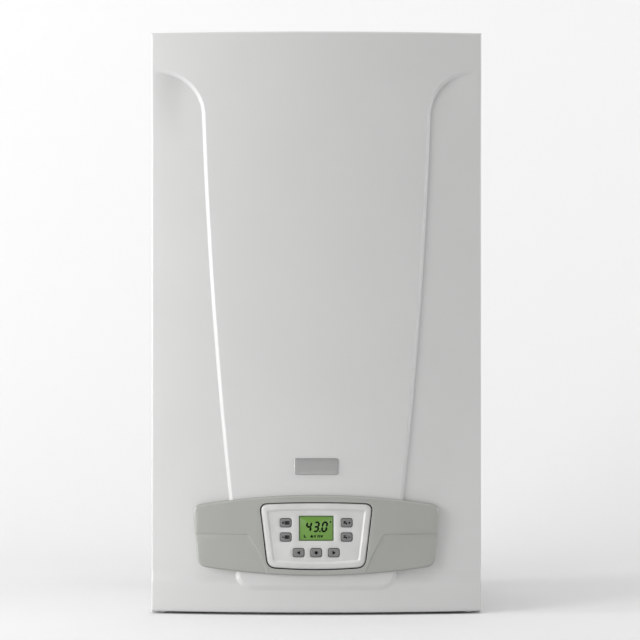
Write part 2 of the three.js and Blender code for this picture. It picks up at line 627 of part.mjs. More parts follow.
// A side panel: sheet with a flange turned in at the front and the back, and the tab that takes the
// cover's screw.
function sidePanel(side) {
  const outer = CASE_X;
  const inner = CASE_X - SHEET;
  const flange = PANEL_FLANGE;
  const front = RETURN_Y + GAP;
  const rear = REAR_Y;
  const profile = [[outer, WALL_Y], [inner, WALL_Y], [inner, rear], [inner - flange, rear],
    [inner - flange, rear - SHEET], [inner, rear - SHEET], [inner, front + SHEET],
    [inner - flange, front + SHEET], [inner - flange, front], [outer, front]];
  const channel = prism(outline(profile.map(([x, y]) => [side * x, y])), 'Z', 0, TOP_Z - PLATE - GAP);
  const wall = box(side * inner, front, TOP_Z - PLATE - 1, side * outer, WALL_Y, TOP_Z);
  const tabZ = COVER_LIFT + SHEET + GAP;
  const tab = box(side * (SCREW_X - 9), SCREW_Y - 8, tabZ, side * (inner - GAP), front + SHEET / 2,
    tabZ + PLATE);
  const hole = rod('Z', side * SCREW_X, SCREW_Y, 0, SCREW_R + RUN, tabZ - 1, tabZ + 3, 12);
  return cut(fuse(channel, wall, tab), hole);
}

// A screw that holds the cover to a side panel's tab.
function coverScrew(side) {
  const headTop = COVER_LIFT - GAP;
  const headR = SCREW_R + 2.4;
  const profile = [[0, headTop - 2], [headR, headTop - 2], [headR, headTop], [SCREW_R, headTop],
    [SCREW_R, COVER_LIFT + 8], [0, COVER_LIFT + 8]];
  return revolved(profile, 'Z', side * SCREW_X, SCREW_Y, 0, 12);
}

// The plate against the wall, with two hanging slots and two lower fixing holes.
function backPlate() {
  const plate = box(-INSIDE_X, WALL_Y - PLATE, 0, INSIDE_X, WALL_Y, TOP_Z);
  const hangZ = TOP_Z - HANG.drop;
  const slots = [-1, 1].map((side) => prism(roundedRectangle(side * HANG.x - HANG.w / 2,
    hangZ - HANG.h / 2, side * HANG.x + HANG.w / 2, hangZ + HANG.h / 2, 5), 'Y', WALL_Y - 3, WALL_Y + 1));
  const holes = [-1, 1].map((side) => rod('Y', side * (CASE_X - LOWER_HOLE.inset), 0, LOWER_HOLE.z,
    LOWER_HOLE.r, WALL_Y - 3, WALL_Y + 1, 12));
  return cut(plate, ...slots, ...holes);
}

// The top plate with its front flange, the two studs that carry the cover, and the holes of the flue
// and the air cap.
function topPlate() {
  const front = RETURN_Y + GAP;
  const plate = box(-INSIDE_X, front, TOP_Z - PLATE, INSIDE_X, REAR_Y, TOP_Z);
  const flangeX = INSIDE_X - PANEL_FLANGE - 4;
  const flange = box(-flangeX, front, STUD_Z - 18, flangeX, front + PLATE, TOP_Z);
  const studs = [-1, 1].map((side) => rod('Y', side * STUD_X, 0, STUD_Z, STUD_R, front - 11,
    front + PLATE / 2, 16));
  const holes = [rod('Z', FLUE.x, FLUE.y, 0, FLUE_OUTER_R + GAP, TOP_Z - 4, TOP_Z + 1, 20),
    rod('Z', CAP.x, CAP.y, 0, CAP.r + GAP, TOP_Z - 4, TOP_Z + 1, 16)];
  return cut(fuse(plate, flange, ...studs), ...holes);
}

// The bottom plate, with the pipe holes and the two arms in which the control box turns.
function bottomPlate() {
  const plate = box(-INSIDE_X, DECK_FRONT, DECK_Z, INSIDE_X, REAR_Y, DECK_TOP);
  const notches = [-1, 1].map((side) => box(side * (INSIDE_X - PANEL_FLANGE - GAP), REAR_Y - SHEET - GAP,
    DECK_Z - 1, side * CASE_X, REAR_Y + 1, DECK_TOP + 1));
  const lipX = INSIDE_X - PANEL_FLANGE - 4;
  const lip = box(-lipX, DECK_FRONT, DECK_Z - DECK_LIP, lipX, DECK_FRONT + SHEET, DECK_TOP);
  const arms = [-1, 1].map((side) => cut(prism(roundedRectangle(TILT_Y - 9, TILT_Z - 9, DECK_FRONT + 30,
    DECK_TOP, 5), 'X', side * ARM_X, side * (ARM_X + ARM_T)), rod('X', 0, TILT_Y, TILT_Z, TRUNNION_R + RUN,
    side * ARM_X - 5, side * ARM_X + 5, 16)));
  const hole = (x, y, r, sides) => rod('Z', x, y, 0, r + GAP, DECK_Z - 5, DECK_TOP + 5, sides);
  const unions = UNIONS.map(({ x, r }) => hole(x, UNION_Y, r, 12));
  const entry = sleeve('Z', CABLE_ENTRY.x, CABLE_ENTRY.y, 0, CABLE_ENTRY.r, CABLE_ENTRY.r + 3,
    DECK_Z - 6, DECK_TOP + 3, 12);
  const entryHole = rod('Z', CABLE_ENTRY.x, CABLE_ENTRY.y, 0, CABLE_ENTRY.r + 1, DECK_Z - 5,
    DECK_TOP + 2, 12);
  const others = [hole(TRAP.x, TRAP.y, TRAP_SPIGOT_R, 16), hole(GAUGE.x, GAUGE.y, GAUGE.r, 16)];
  return fuse(cut(fuse(plate, lip, ...arms), ...unions, ...notches, entryHole, ...others), entry);
}

// ---------------------------------------------------------------- flue

// The collar on the top plate: an air ring round the exhaust socket, held by four webs.
function flueSocket() {
  const { x, y, r } = FLUE;
  const collar = revolved([[FLUE_OUTER_R - 2, TOP_Z - 28], [FLUE_OUTER_R, TOP_Z - 28],
    [FLUE_OUTER_R, TOP_Z + GAP], [FLUE_OUTER_R + 14, TOP_Z + GAP], [FLUE_OUTER_R + 14, TOP_Z + 3],
    [FLUE_OUTER_R + 2, TOP_Z + 4], [FLUE_OUTER_R - 2, TOP_Z + 4], [FLUE_OUTER_R - 2, TOP_Z - 28]],
  'Z', x, y, 0, 20);
  const socket = sleeve('Z', x, y, 0, r + 2 + GAP, r + 4.5, TOP_Z - 28, TOP_Z + 2, 16);
  const webs = [45, 135, 225, 315].map((angle) => box(r + 3.5, -1.2, TOP_Z - 24, FLUE_OUTER_R - 1, 1.2,
    TOP_Z - 4).rotateZ((angle * Math.PI) / 180).translate(x, y, 0));
  return fuse(collar, socket, ...webs);
}

// The cap on the spare air inlet.
function airInletCap() {
  const profile = [[0, TOP_Z + 1.5], [0, TOP_Z - 2], [CAP.r - 3, TOP_Z - 2], [CAP.r - 3, TOP_Z - 9],
    [CAP.r, TOP_Z - 9], [CAP.r, TOP_Z + GAP], [CAP.r + 6, TOP_Z + GAP], [CAP.r + 6, TOP_Z + 2.5],
    [CAP.r + 4, TOP_Z + 4], [CAP.r - 6, TOP_Z + 4], [CAP.r - 8, TOP_Z + 1.5], [0, TOP_Z + 1.5]];
  return revolved(profile.slice(1), 'Z', CAP.x, CAP.y, 0);
}

// The exhaust pipe from the drum to the socket.
function fluePipe() {
  const { r } = FLUE;
  const profile = [[r, FLUE_FOOT], [r + 5, FLUE_FOOT], [r + 5, FLUE_FOOT + 12], [r + 2, FLUE_FOOT + 16],
    [r + 2, TOP_Z - 12], [r, TOP_Z - 12], [r, FLUE_FOOT]];
  return revolved(profile, 'Z', FLUE.x, FLUE.y, 0);
}

// ---------------------------------------------------------------- control box

// The open-backed moulding that carries the facia and boards, with the ears and trunnions on which it
// tilts.
function controlTray() {
  const wall = TRAY_WALL;
  const shell = cut(
    prism(roundedRectangle(-TRAY_HALF, TRAY_Z0, TRAY_HALF, TRAY_Z1, TRAY_CORNER), 'Y', TRAY_FRONT, TRAY_BACK),
    prism(roundedRectangle(-TRAY_HALF + wall, TRAY_Z0 + wall, TRAY_HALF - wall, TRAY_Z1 - wall,
      TRAY_CORNER - 1), 'Y', TRAY_FRONT + wall, TRAY_BACK + 1));
  const wireWindow = box(-30, TRAY_FRONT - 1, DISPLAY_Z - 20, 30, TRAY_FRONT + wall + 1, DISPLAY_Z);
  const posts = [];
  for (const side of [-1, 1]) {
    for (const z of [TRAY_Z0 + 14, TRAY_Z1 - 14]) {
      posts.push(rod('Y', side * (TRAY_HALF - 28), 0, z, POST_R, TRAY_FRONT + 1, BOARD_Y - GAP, 8));
    }
    for (const z of [KEY_ROW_Z - 2.5, KEY_UPPER_Z + 11.3]) {
      posts.push(rod('Y', side * (KEY_SIDE_X + 9.4), 0, z, POST_R - 1, KEY_BOARD_Y + BOARD_T + GAP,
        TRAY_FRONT + 1, 8));
    }
  }
  const ears = [-1, 1].map((side) => prism(roundedRectangle(TILT_Y - TRUNNION_R - 3, TILT_Z - TRUNNION_R - 3,
    TILT_Y + TRUNNION_R + 3, TRAY_Z0 + 10, 3), 'X', side * (TRAY_HALF - 5), side * TRAY_HALF));
  const trunnions = [-1, 1].map((side) => rod('X', 0, TILT_Y, TILT_Z, TRUNNION_R,
    side * (TRAY_HALF - 1), side * (ARM_X + ARM_T + 2), 16));
  return fuse(cut(shell, wireWindow), ...posts, ...ears, ...trunnions);
}

// The lid on the back of the control box, with a lip inside the tray and cooling slots.
function controlLid() {
  const plate = prism(roundedRectangle(-TRAY_HALF, TRAY_Z0, TRAY_HALF, TRAY_Z1, TRAY_CORNER), 'Y',
    TRAY_BACK + GAP, LID_BACK);
  const ring = (inset, corner, from, to) => prism(roundedRectangle(-TRAY_HALF + inset, TRAY_Z0 + inset,
    TRAY_HALF - inset, TRAY_Z1 - inset, corner), 'Y', from, to);
  const inset = TRAY_WALL + GAP;
  const lip = cut(ring(inset, TRAY_CORNER - 1.5, TRAY_BACK - 5, TRAY_BACK + 1),
    ring(inset + LID_T, TRAY_CORNER - 3, TRAY_BACK - 6, TRAY_BACK + GAP));
  const slots = [];
  for (let i = -3; i <= 3; i += 1) {
    slots.push(box(i * 12 - 2, TRAY_BACK - 8, TRAY_Z1 - 36, i * 12 + 2, LID_BACK + 1, TRAY_Z1 - 14));
  }
  return cut(fuse(plate, lip), ...slots);
}

// The white facia: a bowed moulding with a rim, a recessed keypad, a display window and seven holes.
function controlFacia() {
  const slab = (crown) => bowedSlab(crown, FACIA_BACK, FACIA_TOP_HALF + 8, 40, 150, 6);
  const body = common(prism(faciaOutline(0), 'Y', FRONT_Y - 5, FACIA_BACK), slab(FRONT_Y));
  const recess = cut(prism(faciaOutline(-FACIA_RIM), 'Y', FRONT_Y - 5, FRONT_Y + 6),
    slab(FRONT_Y + FACIA_RECESS));
  const hollow = common(prism(faciaOutline(-FACIA_WALL), 'Y', FRONT_Y, FACIA_BACK + 2),
    bowedSlab(FRONT_Y + FACIA_RECESS + FACIA_WALL, FACIA_BACK + 2, FACIA_TOP_HALF + 9, 39, 151, 6));
  const keyHoles = KEYS.map(({ x, z }) => keyPrism(x, z, RUN, FRONT_Y - 5, FRONT_Y + 8));
  const window = prism(roundedRectangle(-DISPLAY_W / 2 - RUN, DISPLAY_Z - DISPLAY_H / 2 - RUN,
    DISPLAY_W / 2 + RUN, DISPLAY_Z + DISPLAY_H / 2 + RUN, 1.5), 'Y', FRONT_Y - 5, FRONT_Y + 8, 2);
  return cut(body, recess, hollow, window, ...keyHoles);
}

function keyPrism(x, z, grow, from, to) {
  const halfW = KEY_W / 2 + grow;
  const halfH = KEY_H / 2 + grow;
  return prism(roundedRectangle(x - halfW, z - halfH, x + halfW, z + halfH, 3 + grow), 'Y', from, to);
}

// A key: a cap through the facia, and a flange behind it that keeps it in.
function key({ x, z }) {
  const front = FRONT_Y + bowAt(x) + FACIA_RECESS - 0.8;
  const wallBack = FRONT_Y + bowAt(Math.abs(x) + KEY_W / 2) + FACIA_RECESS + FACIA_WALL;
  const cap = keyPrism(x, z, 0, front, wallBack + 3);
  const lip = 1.4;
  const flange = box(x - KEY_W / 2 - lip, wallBack + GAP, z - KEY_H / 2 - lip,
    x + KEY_W / 2 + lip, wallBack + 1.8, z + KEY_H / 2 + lip);
  const stem = rod('Y', x, 0, z, 2, wallBack + 1.8 - GAP, KEY_BOARD_Y - KEY_TRAVEL - GAP, 6);
  return fuse(cap, flange, stem);
}

// The display: its glass in the facia's window, and the module behind it that seats on the board.
function displayModule() {
  const halfW = DISPLAY_W / 2;
  const z0 = DISPLAY_Z - DISPLAY_H / 2;
  const z1 = DISPLAY_Z + DISPLAY_H / 2;
  const moduleFront = FRONT_Y + FACIA_RECESS + FACIA_WALL + 1.8;
  const glass = prism(roundedRectangle(-halfW, z0, halfW, z1, 1.2), 'Y', FRONT_Y + FACIA_RECESS + 0.5,
    moduleFront + 1, 2);
  return fuse(glass, box(-halfW - 2, moduleFront, z0 - 2, halfW + 2, KEY_BOARD_Y - GAP, z1 + 2));
}

// The board of the keys and the display, with the plug of its cable.
function displayBoard() {
  const half = KEY_SIDE_X + 17.4;
  const back = KEY_BOARD_Y + BOARD_T;
  const board = box(-half, KEY_BOARD_Y, FACIA_LOW + 4.7, half, back, FACIA_TOP - 4.7);
  return fuse(board, box(-12, back - 0.6, DISPLAY_Z - 16, 12, back + 4.9, DISPLAY_Z - 6));
}

// The main board with its transformer, relays, capacitors, processor, fuse holder and terminal strip.
function mainBoard() {
  const back = BOARD_Y + BOARD_T;
  const room = TRAY_BACK - back;
  const half = TRAY_HALF - 10;
  const low = TRAY_Z0 + 6;
  const high = TRAY_Z1 - 6;
  const parts = [box(-half, BOARD_Y, low, half, back, high),
    box(half - 58, back - 1, low + 62, half - 12, back + 0.87 * room, high - 16)];
  for (let i = 0; i < 4; i += 1) {
    parts.push(box(-20 + i * 22, back - 1, high - 30, -4 + i * 22, back + 0.47 * room, high - 10));
  }
  for (let i = 0; i < 3; i += 1) {
    parts.push(rod('Y', 28 - half + i * 24, 0, high - 30, 8, back - 1, back + 0.64 * room, 12));
  }
  parts.push(box(18 - half, back - 1, low + 10, 40, back + 0.4 * room, low + 24));
  parts.push(box(48 - half, back - 1, low + 42, 88 - half, back + 4, low + 72));
  parts.push(rod('X', 0, back + 5, low + 42, 4, 60, 86, 10));
  parts.push(box(58, back - 1, low + 38, 88, back + 4, low + 46));
  return fuse(...parts);
}

// ---------------------------------------------------------------- burner and fan

// The exchanger: a beaded stainless drum, open to the front, with the stubs for the flue, the water
// and the condensate.
function heatExchanger() {
  const { x, z, r, front, back } = HX;
  const wall = DRUM_WALL_T;
  const profile = [[0, back], [r - 6, back], [r, back - 6]];
  for (const along of [back - 38, back - 98]) {
    profile.push([r, along + 6], [r + 3, along + 3], [r + 3, along - 3], [r, along - 6]);
  }
  profile.push([r, front + 5], [r + DRUM_LIP, front + 4], [r + DRUM_LIP, front], [r - wall, front]);
  profile.push([r - wall, back - wall], [0, back - wall]);
  const drum = revolved(profile, 'Y', x, 0, z, 20);
  const flue = rod('Z', FLUE.x, FLUE.y, 0, FLUE.r + 5, z + 0.74 * r, FLUE_FOOT - GAP, 16);
  const flueBore = rod('Z', FLUE.x, FLUE.y, 0, FLUE.r, z + 0.52 * r, FLUE_FOOT + 4, 16);
  const stubs = Object.values(STUBS).map((stub) => rod('Z', stub.x, stub.y, 0, stub.r, STUB_FOOT,
    z - 0.7 * r, 12));
  return cut(fuse(drum, flue, ...stubs), flueBore);
}

// The cast door in front of the drum, with its six studs and the boss of the gas inlet.
function burnerDoor() {
  const { x, z, r, front } = HX;
  const face = front - GAP;
  const profile = [[INLET_R, face], [INLET_R, DOOR_FRONT - 4], [INLET_R + 8, DOOR_FRONT - 4],
    [INLET_R + 12, DOOR_FRONT], [r - 12, DOOR_FRONT], [r + DRUM_LIP - 2, face - 6], [r + DRUM_LIP, face],
    [INLET_R, face]];
  const disc = revolved(profile, 'Y', x, 0, z, 20);
  const nuts = [];
  for (let i = 0; i < 6; i += 1) {
    const angle = ((i + 0.5) * Math.PI) / 3;
    const nutX = x + (r - 4) * Math.cos(angle);
    nuts.push(rod('Y', nutX, 0, z + (r - 4) * Math.sin(angle), 6, face - DOOR_T, face - 1, 6));
  }
  const port = rod('Y', ELECTRODE.x, 0, ELECTRODE.z, ELECTRODE.r + GAP, DOOR_FRONT - 10, face + 5, 16);
  return cut(fuse(disc, ...nuts), port);
}

// The perforated burner tube, flanged against the back of the door.
function burnerTube() {
  const { x, z, front, back } = HX;
  const end = back - 40;
  const profile = [[INLET_R, front], [INLET_R + 16, front], [INLET_R + 16, front + 2],
    [INLET_R + 2, front + 2], [INLET_R + 2, end], [0, end], [0, end - 2], [INLET_R, end - 2], [INLET_R, front]];
  return revolved(profile, 'Y', x, 0, z);
}

// The ignition electrode: a ceramic rod through the door, with its pin in the drum.
function ignitionElectrode() {
  const { x, z, r } = ELECTRODE;
  const tip = HX.front + 34;
  const profile = [[0, DOOR_FRONT - 30], [r - 2, DOOR_FRONT - 30], [r - 2, DOOR_FRONT - 20],
    [r + 3, DOOR_FRONT - 18], [r + 3, DOOR_FRONT - GAP], [r, DOOR_FRONT - GAP], [r, HX.front + 2],
    [1.5, HX.front + 2], [1.5, tip], [0, tip]];
  return revolved(profile, 'Y', x, 0, z, 10);
}

// The duct that leads the mixture from the fan down to the door.
function burnerElbow() {
  const foot = HX.z - 36;
  const wall = 3;
  const outer = prism(roundedRectangle(DUCT.x0 - 8, foot, DUCT.x1 + 8, DUCT.joint - GAP, 10), 'Y',
    DUCT.y0, DOOR_FRONT - 4 - GAP);
  const bore = box(DUCT.x0 + wall, DUCT.y0 + wall, HX.z, DUCT.x1 - wall, DUCT.y1 - wall, DUCT.joint + 5);
  const mouth = rod('Y', HX.x, 0, HX.z, INLET_R - 2, DUCT.y0 + wall, DOOR_FRONT, 24);
  return cut(outer, fuse(bore, mouth));
}

// The fan housing: a scroll that widens towards its outlet and runs down into the duct.
function scrollOutline(inset, foot) {
  const shape = new THREE.Shape();
  const steps = 20;
  const sweep = 300;
  shape.moveTo(DUCT.x1 - inset, foot);
  for (let i = 0; i <= steps; i += 1) {
    const degrees = (sweep * i) / steps;
    const r = SCROLL_R1 - ((SCROLL_R1 - SCROLL_R0) * i) / steps - inset;
    const angle = (degrees * Math.PI) / 180;
    shape.lineTo(FAN.x + r * Math.cos(angle), FAN.z + r * Math.sin(angle));
  }
  shape.lineTo(DUCT.x0 + inset, FAN.z - SCROLL_R0 - 6);
  shape.lineTo(DUCT.x0 + inset, foot);
  shape.closePath();
  return shape;
}

function fanHousing() {
  const body = prism(scrollOutline(0, DUCT.joint), 'Y', FAN.front, FAN.back);
  const chamber = prism(scrollOutline(FAN_WALL, DUCT.joint - 5), 'Y', FAN.front + FAN_WALL,
    FAN.back - FAN_WALL);
  const inlet = rod('Y', FAN.x, 0, FAN.z, FAN_INLET_R, FAN.front - 2, FAN.front + 5, 24);
  const shaftHole = rod('Y', FAN.x, 0, FAN.z, SHAFT_R + RUN, FAN.back - 5, FAN.back + 2, 16);
  return cut(body, chamber, inlet, shaftHole);
}

// The impeller: a back disc with curved blades, a shroud ring, a hub and its shaft.
function fanImpeller() {
  const rear = FAN.back - FAN_WALL - 4;
  const front = FAN.front + FAN_WALL + 4;
  const disc = revolved([[0, rear - 12], [9, rear - 12], [12, rear - 2], [IMPELLER_R, rear - 2],
    [IMPELLER_R, rear], [SHAFT_R, rear], [SHAFT_R, FAN.back + 14], [0, FAN.back + 14]], 'Y', FAN.x, 0, FAN.z);
  const shroud = sleeve('Y', FAN.x, 0, FAN.z, FAN_INLET_R - 2, IMPELLER_R, front, front + 1.5);
  const root = 0.55 * IMPELLER_R;
  const blade = new THREE.Shape();
  blade.moveTo(root, 0);
  blade.quadraticCurveTo(0.77 * IMPELLER_R, 3, 0.93 * IMPELLER_R, 13);
  blade.lineTo(0.97 * IMPELLER_R, 12);
  blade.quadraticCurveTo(0.8 * IMPELLER_R, 1.2, root, -1.6);
  blade.closePath();
  const blades = [];
  for (let i = 0; i < BLADES; i += 1) {
    blades.push(prism(blade, 'Y', front + 0.7, rear - 1).rotateY((i * 2 * Math.PI) / BLADES)
      .translate(FAN.x, 0, FAN.z));
  }
  return fuse(disc, shroud, ...blades);
}

// The fan's motor, with the shaft in its bearing.
function fanMotor() {
  const start = FAN.back + GAP;
  const end = start + MOTOR_L;
  const bore = SHAFT_R + RUN;
  const profile = [[bore, start], [20, start], [20, start + 4], [MOTOR_R - 3, start + 6], [MOTOR_R, start + 10],
    [MOTOR_R, end - 6], [MOTOR_R - 4, end], [0, end], [0, start + MOTOR_L / 2], [bore, start + MOTOR_L / 2],
    [bore, start]];
  return revolved(profile, 'Y', FAN.x, 0, FAN.z);
}

// The mixer on the fan's inlet, with a waisted bore and the gas stub on its side.
function gasMixer() {
  const back = FAN.front - GAP;
  const waist = 17;
  const profile = [[24, MIXER_FRONT], [34, MIXER_FRONT], [36, MIXER_FRONT + 4], [36, back - 4], [40, back - 4],
    [40, back], [FAN_INLET_R - 2, back], [waist, back - 16], [24, MIXER_FRONT]];
  const body = revolved(profile, 'Y', FAN.x, 0, FAN.z);
  const stub = rod('Z', MIXER_STUB.x, MIXER_STUB.y, 0, PIPE_R + 1, MIXER_STUB.z, FAN.z - 18);
  return fuse(body, stub);
}

// The gas valve: a cast block with a regulator cap and two solenoids.
function gasValve() {
  const { x, y, z0, z1 } = VALVE;
  const half = VALVE_HALF;
  const block = prism(roundedRectangle(x - half, y - half + 4, x + half, y + half - 4, 5), 'Z', z0, z1);
  const solenoids = [-13, 13].map((dx) => rod('Y', x + dx, 0, z1 - 22, 11, y - half - 22, y - half + 8, 16));
  const regulator = rod('X', 0, y, z0 + 22, 14, x + half - 2, x + half + 14, 16);
  const outlet = rod('Z', x, y, 0, PIPE_R + 3, z1 - 1, z1 + VALVE_END, 16);
  const inlet = rod('Z', x, y, 0, PIPE_R + 4, z0 - VALVE_END, z0 + 1, 16);
  return fuse(block, ...solenoids, regulator, outlet, inlet);
}

// ---------------------------------------------------------------- water and gas

// A threaded tail with a hexagon, and on three of them the stem of a shut-off valve.
function pipeUnion({ x, r, lever }) {
  const bore = r - UNION_WALL_T;
  const top = BLOCK_Z0 - GAP;
  const hexTop = DECK_Z - 5;
  const profile = [[bore, UNION_FOOT_Z], [r - 1, UNION_FOOT_Z], [r, UNION_FOOT_Z + 1.5], [r, top], [0, top],
    [0, hexTop - 1], [bore, hexTop - 1], [bore, UNION_FOOT_Z]];
  const tube = revolved(profile, 'Z', x, UNION_Y, 0, 12);
  const hexagon = cut(rod('Z', x, UNION_Y, 0, r + 5, hexTop - HEX_H, hexTop, 6),
    rod('Z', x, UNION_Y, 0, r - 1, hexTop - HEX_H - 3, DECK_Z, 12));
  if (!lever) return fuse(tube, hexagon);
  const root = UNION_Y - bore - 1;
  const stem = rod('Y', x, 0, LEVER_Z, STEM_R, LEVER_STEM_Y - 5, root, 8);
  const boss = rod('Y', x, 0, LEVER_Z, STEM_R + 3, LEVER_STEM_Y + GAP, root, 8);
  return fuse(tube, hexagon, boss, stem);
}

// The lever of a shut-off valve, on the end of its stem.
function valveLever({ x }) {
  const half = STEM_R + 2;
  const blade = prism(roundedRectangle(x - half, LEVER_Z - half - 1, x + half, LEVER_Z + 25, half - 0.5), 'Y',
    LEVER_STEM_Y - LEVER_T, LEVER_STEM_Y);
  return cut(blade, rod('Y', x, 0, LEVER_Z, STEM_R + RUN, LEVER_STEM_Y - 6, LEVER_STEM_Y + 3, 12));
}

// A water block on two unions, on one side of the case.
function waterBlock(side) {
  const middle = side * 2 * UNION_PITCH;
  const column = prism(roundedRectangle(middle - BLOCK_HALF, BLOCK_Y0, middle + BLOCK_HALF, BLOCK_Y1, 10),
    'Z', BLOCK_Z0, BLOCK_Z1);
  const reach = side * (UNION_PITCH - 16);
  const foot = box(middle, BLOCK_Y0 + 14, BLOCK_Z0, reach, BLOCK_Y1 - 8, BLOCK_Z0 + 26);
  return fuse(column, foot);
}

// The diverter's block, with the relief valve and its stem.
function diverterBlock() {
  const relief = rod('Y', RELIEF_VALVE.x, 0, RELIEF_VALVE.z, 11, BLOCK_Y0 - 26, BLOCK_Y0 + 2, 16);
  const stem = rod('Y', RELIEF_VALVE.x, 0, RELIEF_VALVE.z, STEM_R, BLOCK_Y0 - 40, BLOCK_Y0 - 25, 12);
  return fuse(waterBlock(-1), relief, stem);
}

// The knob of the relief valve, on the valve's stem.
function reliefKnob() {
  const { x, z } = RELIEF_VALVE;
  const front = BLOCK_Y0 - 42;
  const back = BLOCK_Y0 - 26 - GAP;
  const grips = 6;
  const star = new THREE.Shape();
  for (let i = 0; i < 4 * grips; i += 1) {
    const angle = (i * Math.PI) / (2 * grips);
    const r = i % 4 < 2 ? 14 : 12.4;
    const at = [x + r * Math.cos(angle), z + r * Math.sin(angle)];
    if (i === 0) star.moveTo(...at);
    else star.lineTo(...at);
  }
  star.closePath();
  return cut(prism(star, 'Y', front, back), rod('Y', x, 0, z, STEM_R + RUN, front + 1.5, back + 1, 16));
}

// The diverter's motor head on its block.
function diverterMotor() {
  const x = -2 * UNION_PITCH - 15;
  const y = BLOCK_Y0 + 24;
  const seat = BLOCK_Z1 + 18;
  const head = prism(roundedRectangle(x - 20, y - 19, x + 20, y + 20, 8), 'Z', seat, seat + 34);
  return fuse(head, rod('Z', x, y, 0, 13, BLOCK_Z1 + GAP, seat + 1, 16));
}

// The pump's block, with the neck that its motor is bolted to.
function pumpBody() {
  const neck = rod('Y', PUMP.x, 0, PUMP.z, 30, BLOCK_Y0 - PUMP_NECK, BLOCK_Y0 + 2, 24);
  return fuse(waterBlock(1), neck);
}

// The pump's motor can and its terminal box.
function pumpMotor() {
  const { x, z, r, front } = PUMP;
  const back = BLOCK_Y0 - PUMP_NECK - GAP;
  const profile = [[0, front], [r - 14, front], [r - 6, front + 4], [r - 3, front + 50], [r, front + 54],
    [r, back], [0, back]];
  const can = revolved(profile, 'Y', x, 0, z);
  const terminals = prism(roundedRectangle(x - 32, z + 28, x + 32, z + 58, 5), 'Y', front + 8, front + 48);
  return fuse(can, terminals);
}

// The plate exchanger: pressed plates round a core, in front of the two blocks.
function plateHeatExchanger() {
  const x0 = -2 * UNION_PITCH + 10;
  const x1 = UNION_PITCH + 9;
  const z1 = PLATES_Z0 + PLATES_H;
  const back = BLOCK_Y0 - GAP;
  const core = prism(roundedRectangle(x0 + 2, PLATES_Z0 + 2, x1 - 2, z1 - 2, 12), 'Y', PLATES_FRONT + 1,
    back - 1, 1);
  const leaves = [];
  for (let i = 0; i <= PLATE_GAPS; i += 1) {
    leaves.push(prism(roundedRectangle(x0, PLATES_Z0, x1, z1, 14), 'Y', back - PLATE_T - i * PLATE_PITCH,
      back - i * PLATE_PITCH, 1));
  }
  return fuse(core, ...leaves);
}

// The flat expansion vessel: a closed shell pressed in three steps to each side of its seam, its feet on
// the side panel, and its hose to the pump.
function expansionVessel() {
  const { x0, x1, y0, y1, z0, z1 } = VESSEL;
  const middle = (x0 + x1) / 2;
  const steps = [{ rim: 3, side: 12 }, { rim: 14, side: 4 }, { rim: 32, side: 0 }];
  const shells = steps.map(({ rim, side }) => prism(roundedRectangle(y0 + rim, z0 + rim, y1 - rim,
    z1 - rim, VESSEL_CORNER + 4 - rim), 'X', x0 + side, x1 - side));
  const seam = prism(roundedRectangle(y0, z0, y1, z1, VESSEL_CORNER), 'X', middle - 2, middle + 2);
  const feet = [z0 + 90, z1 - 90].map((z) => box(x1 - 2, y1 - 120, z - 12, INSIDE_X, y1 - 70, z + 12));
  const hoseX = Math.min(middle, 2 * UNION_PITCH + 19);
  const route = [[hoseX, y1 - 50, z0 + 12], [hoseX, y1 - 48, z0 - 10], [hoseX, UNION_Y + 1, BLOCK_Z1 + 9],
    [hoseX, UNION_Y + 1, BLOCK_Z1 + GAP]];
  return fuse(...shells, seam, ...feet, pipe(route, PIPE_R - 2, 5));
}

// The condensate trap: a bottle with an inlet from the exchanger and a spigot through the plate.
function condensateTrap() {
  const { x, y, r, top } = TRAP;
  const spigot = TRAP_SPIGOT_R;
  const profile = [[0, top], [14, top], [14, top - 9], [r, top - 15], [r, DECK_Z + 35], [r - 6, DECK_Z + 29],
    [spigot, DECK_Z + 27], [spigot, 12], [spigot - 3, 12], [spigot - 3, DECK_Z + 8], [0, DECK_Z + 8]];
  const bottle = revolved(profile, 'Z', x, y, 0);
  const { drain } = STUBS;
  const inlet = pipe([[drain.x, drain.y, STUB_FOOT - GAP], [drain.x, drain.y, STUB_FOOT - 22],
    [x - 8, y + 10, top + 21], [x, y, top - 7]], PIPE_R, 6);
  return fuse(bottle, inlet);
}

// The gas pipe: from its union over the plate exchanger to the foot of the valve.
function gasPipe() {
  const over = PLATES_Z0 + PLATES_H + 16;
  const { x, y, z0 } = VALVE;
  return pipe([[0, UNION_Y, BLOCK_Z0], [0, UNION_Y, over - 80], [0, UNION_Y, over - 30],
    [-4, UNION_Y - 17, over + 4], [-16, UNION_Y - 55, over + 8], [-60, y + 22, over], [x + 35, y + 4, over - 8],
    [x + 10, y, over - 7], [x, y, over + 2], [x, y, z0 - VALVE_END - GAP]], PIPE_R, 16);
}

// The pipe from the gas valve to the mixer, up between the drum and the side panel.
function mixerPipe() {
  const { x, y, z1 } = VALVE;
  const side = PIPE_R + 8 - CASE_X;
  const door = DOOR_FRONT;
  const stub = MIXER_STUB;
  return pipe([[x, y, z1 + VALVE_END + GAP], [x, y, z1 + 17], [x - 8, y - 1, z1 + 30],
    [side + 8, y - 4, z1 + 56], [side, door - 8, HX.z - 45], [side, door - 14, HX.z + 45],
    [side + 6, door - 32, HX.z + 87], [(side + stub.x) / 2, stub.y + 9, HX.z + 119],
    [stub.x, stub.y, stub.z - 10], [stub.x, stub.y, stub.z - GAP]], PIPE_R - 1, 18);
}

// The straight pipe from the drum to the diverter, and the bent one from the pump to the drum.
function flowPipe() {
  const { x, y, r } = STUBS.flow;
  return rod('Z', x, y, 0, r - 2, BLOCK_Z1 + GAP, STUB_FOOT - GAP, 18);
}

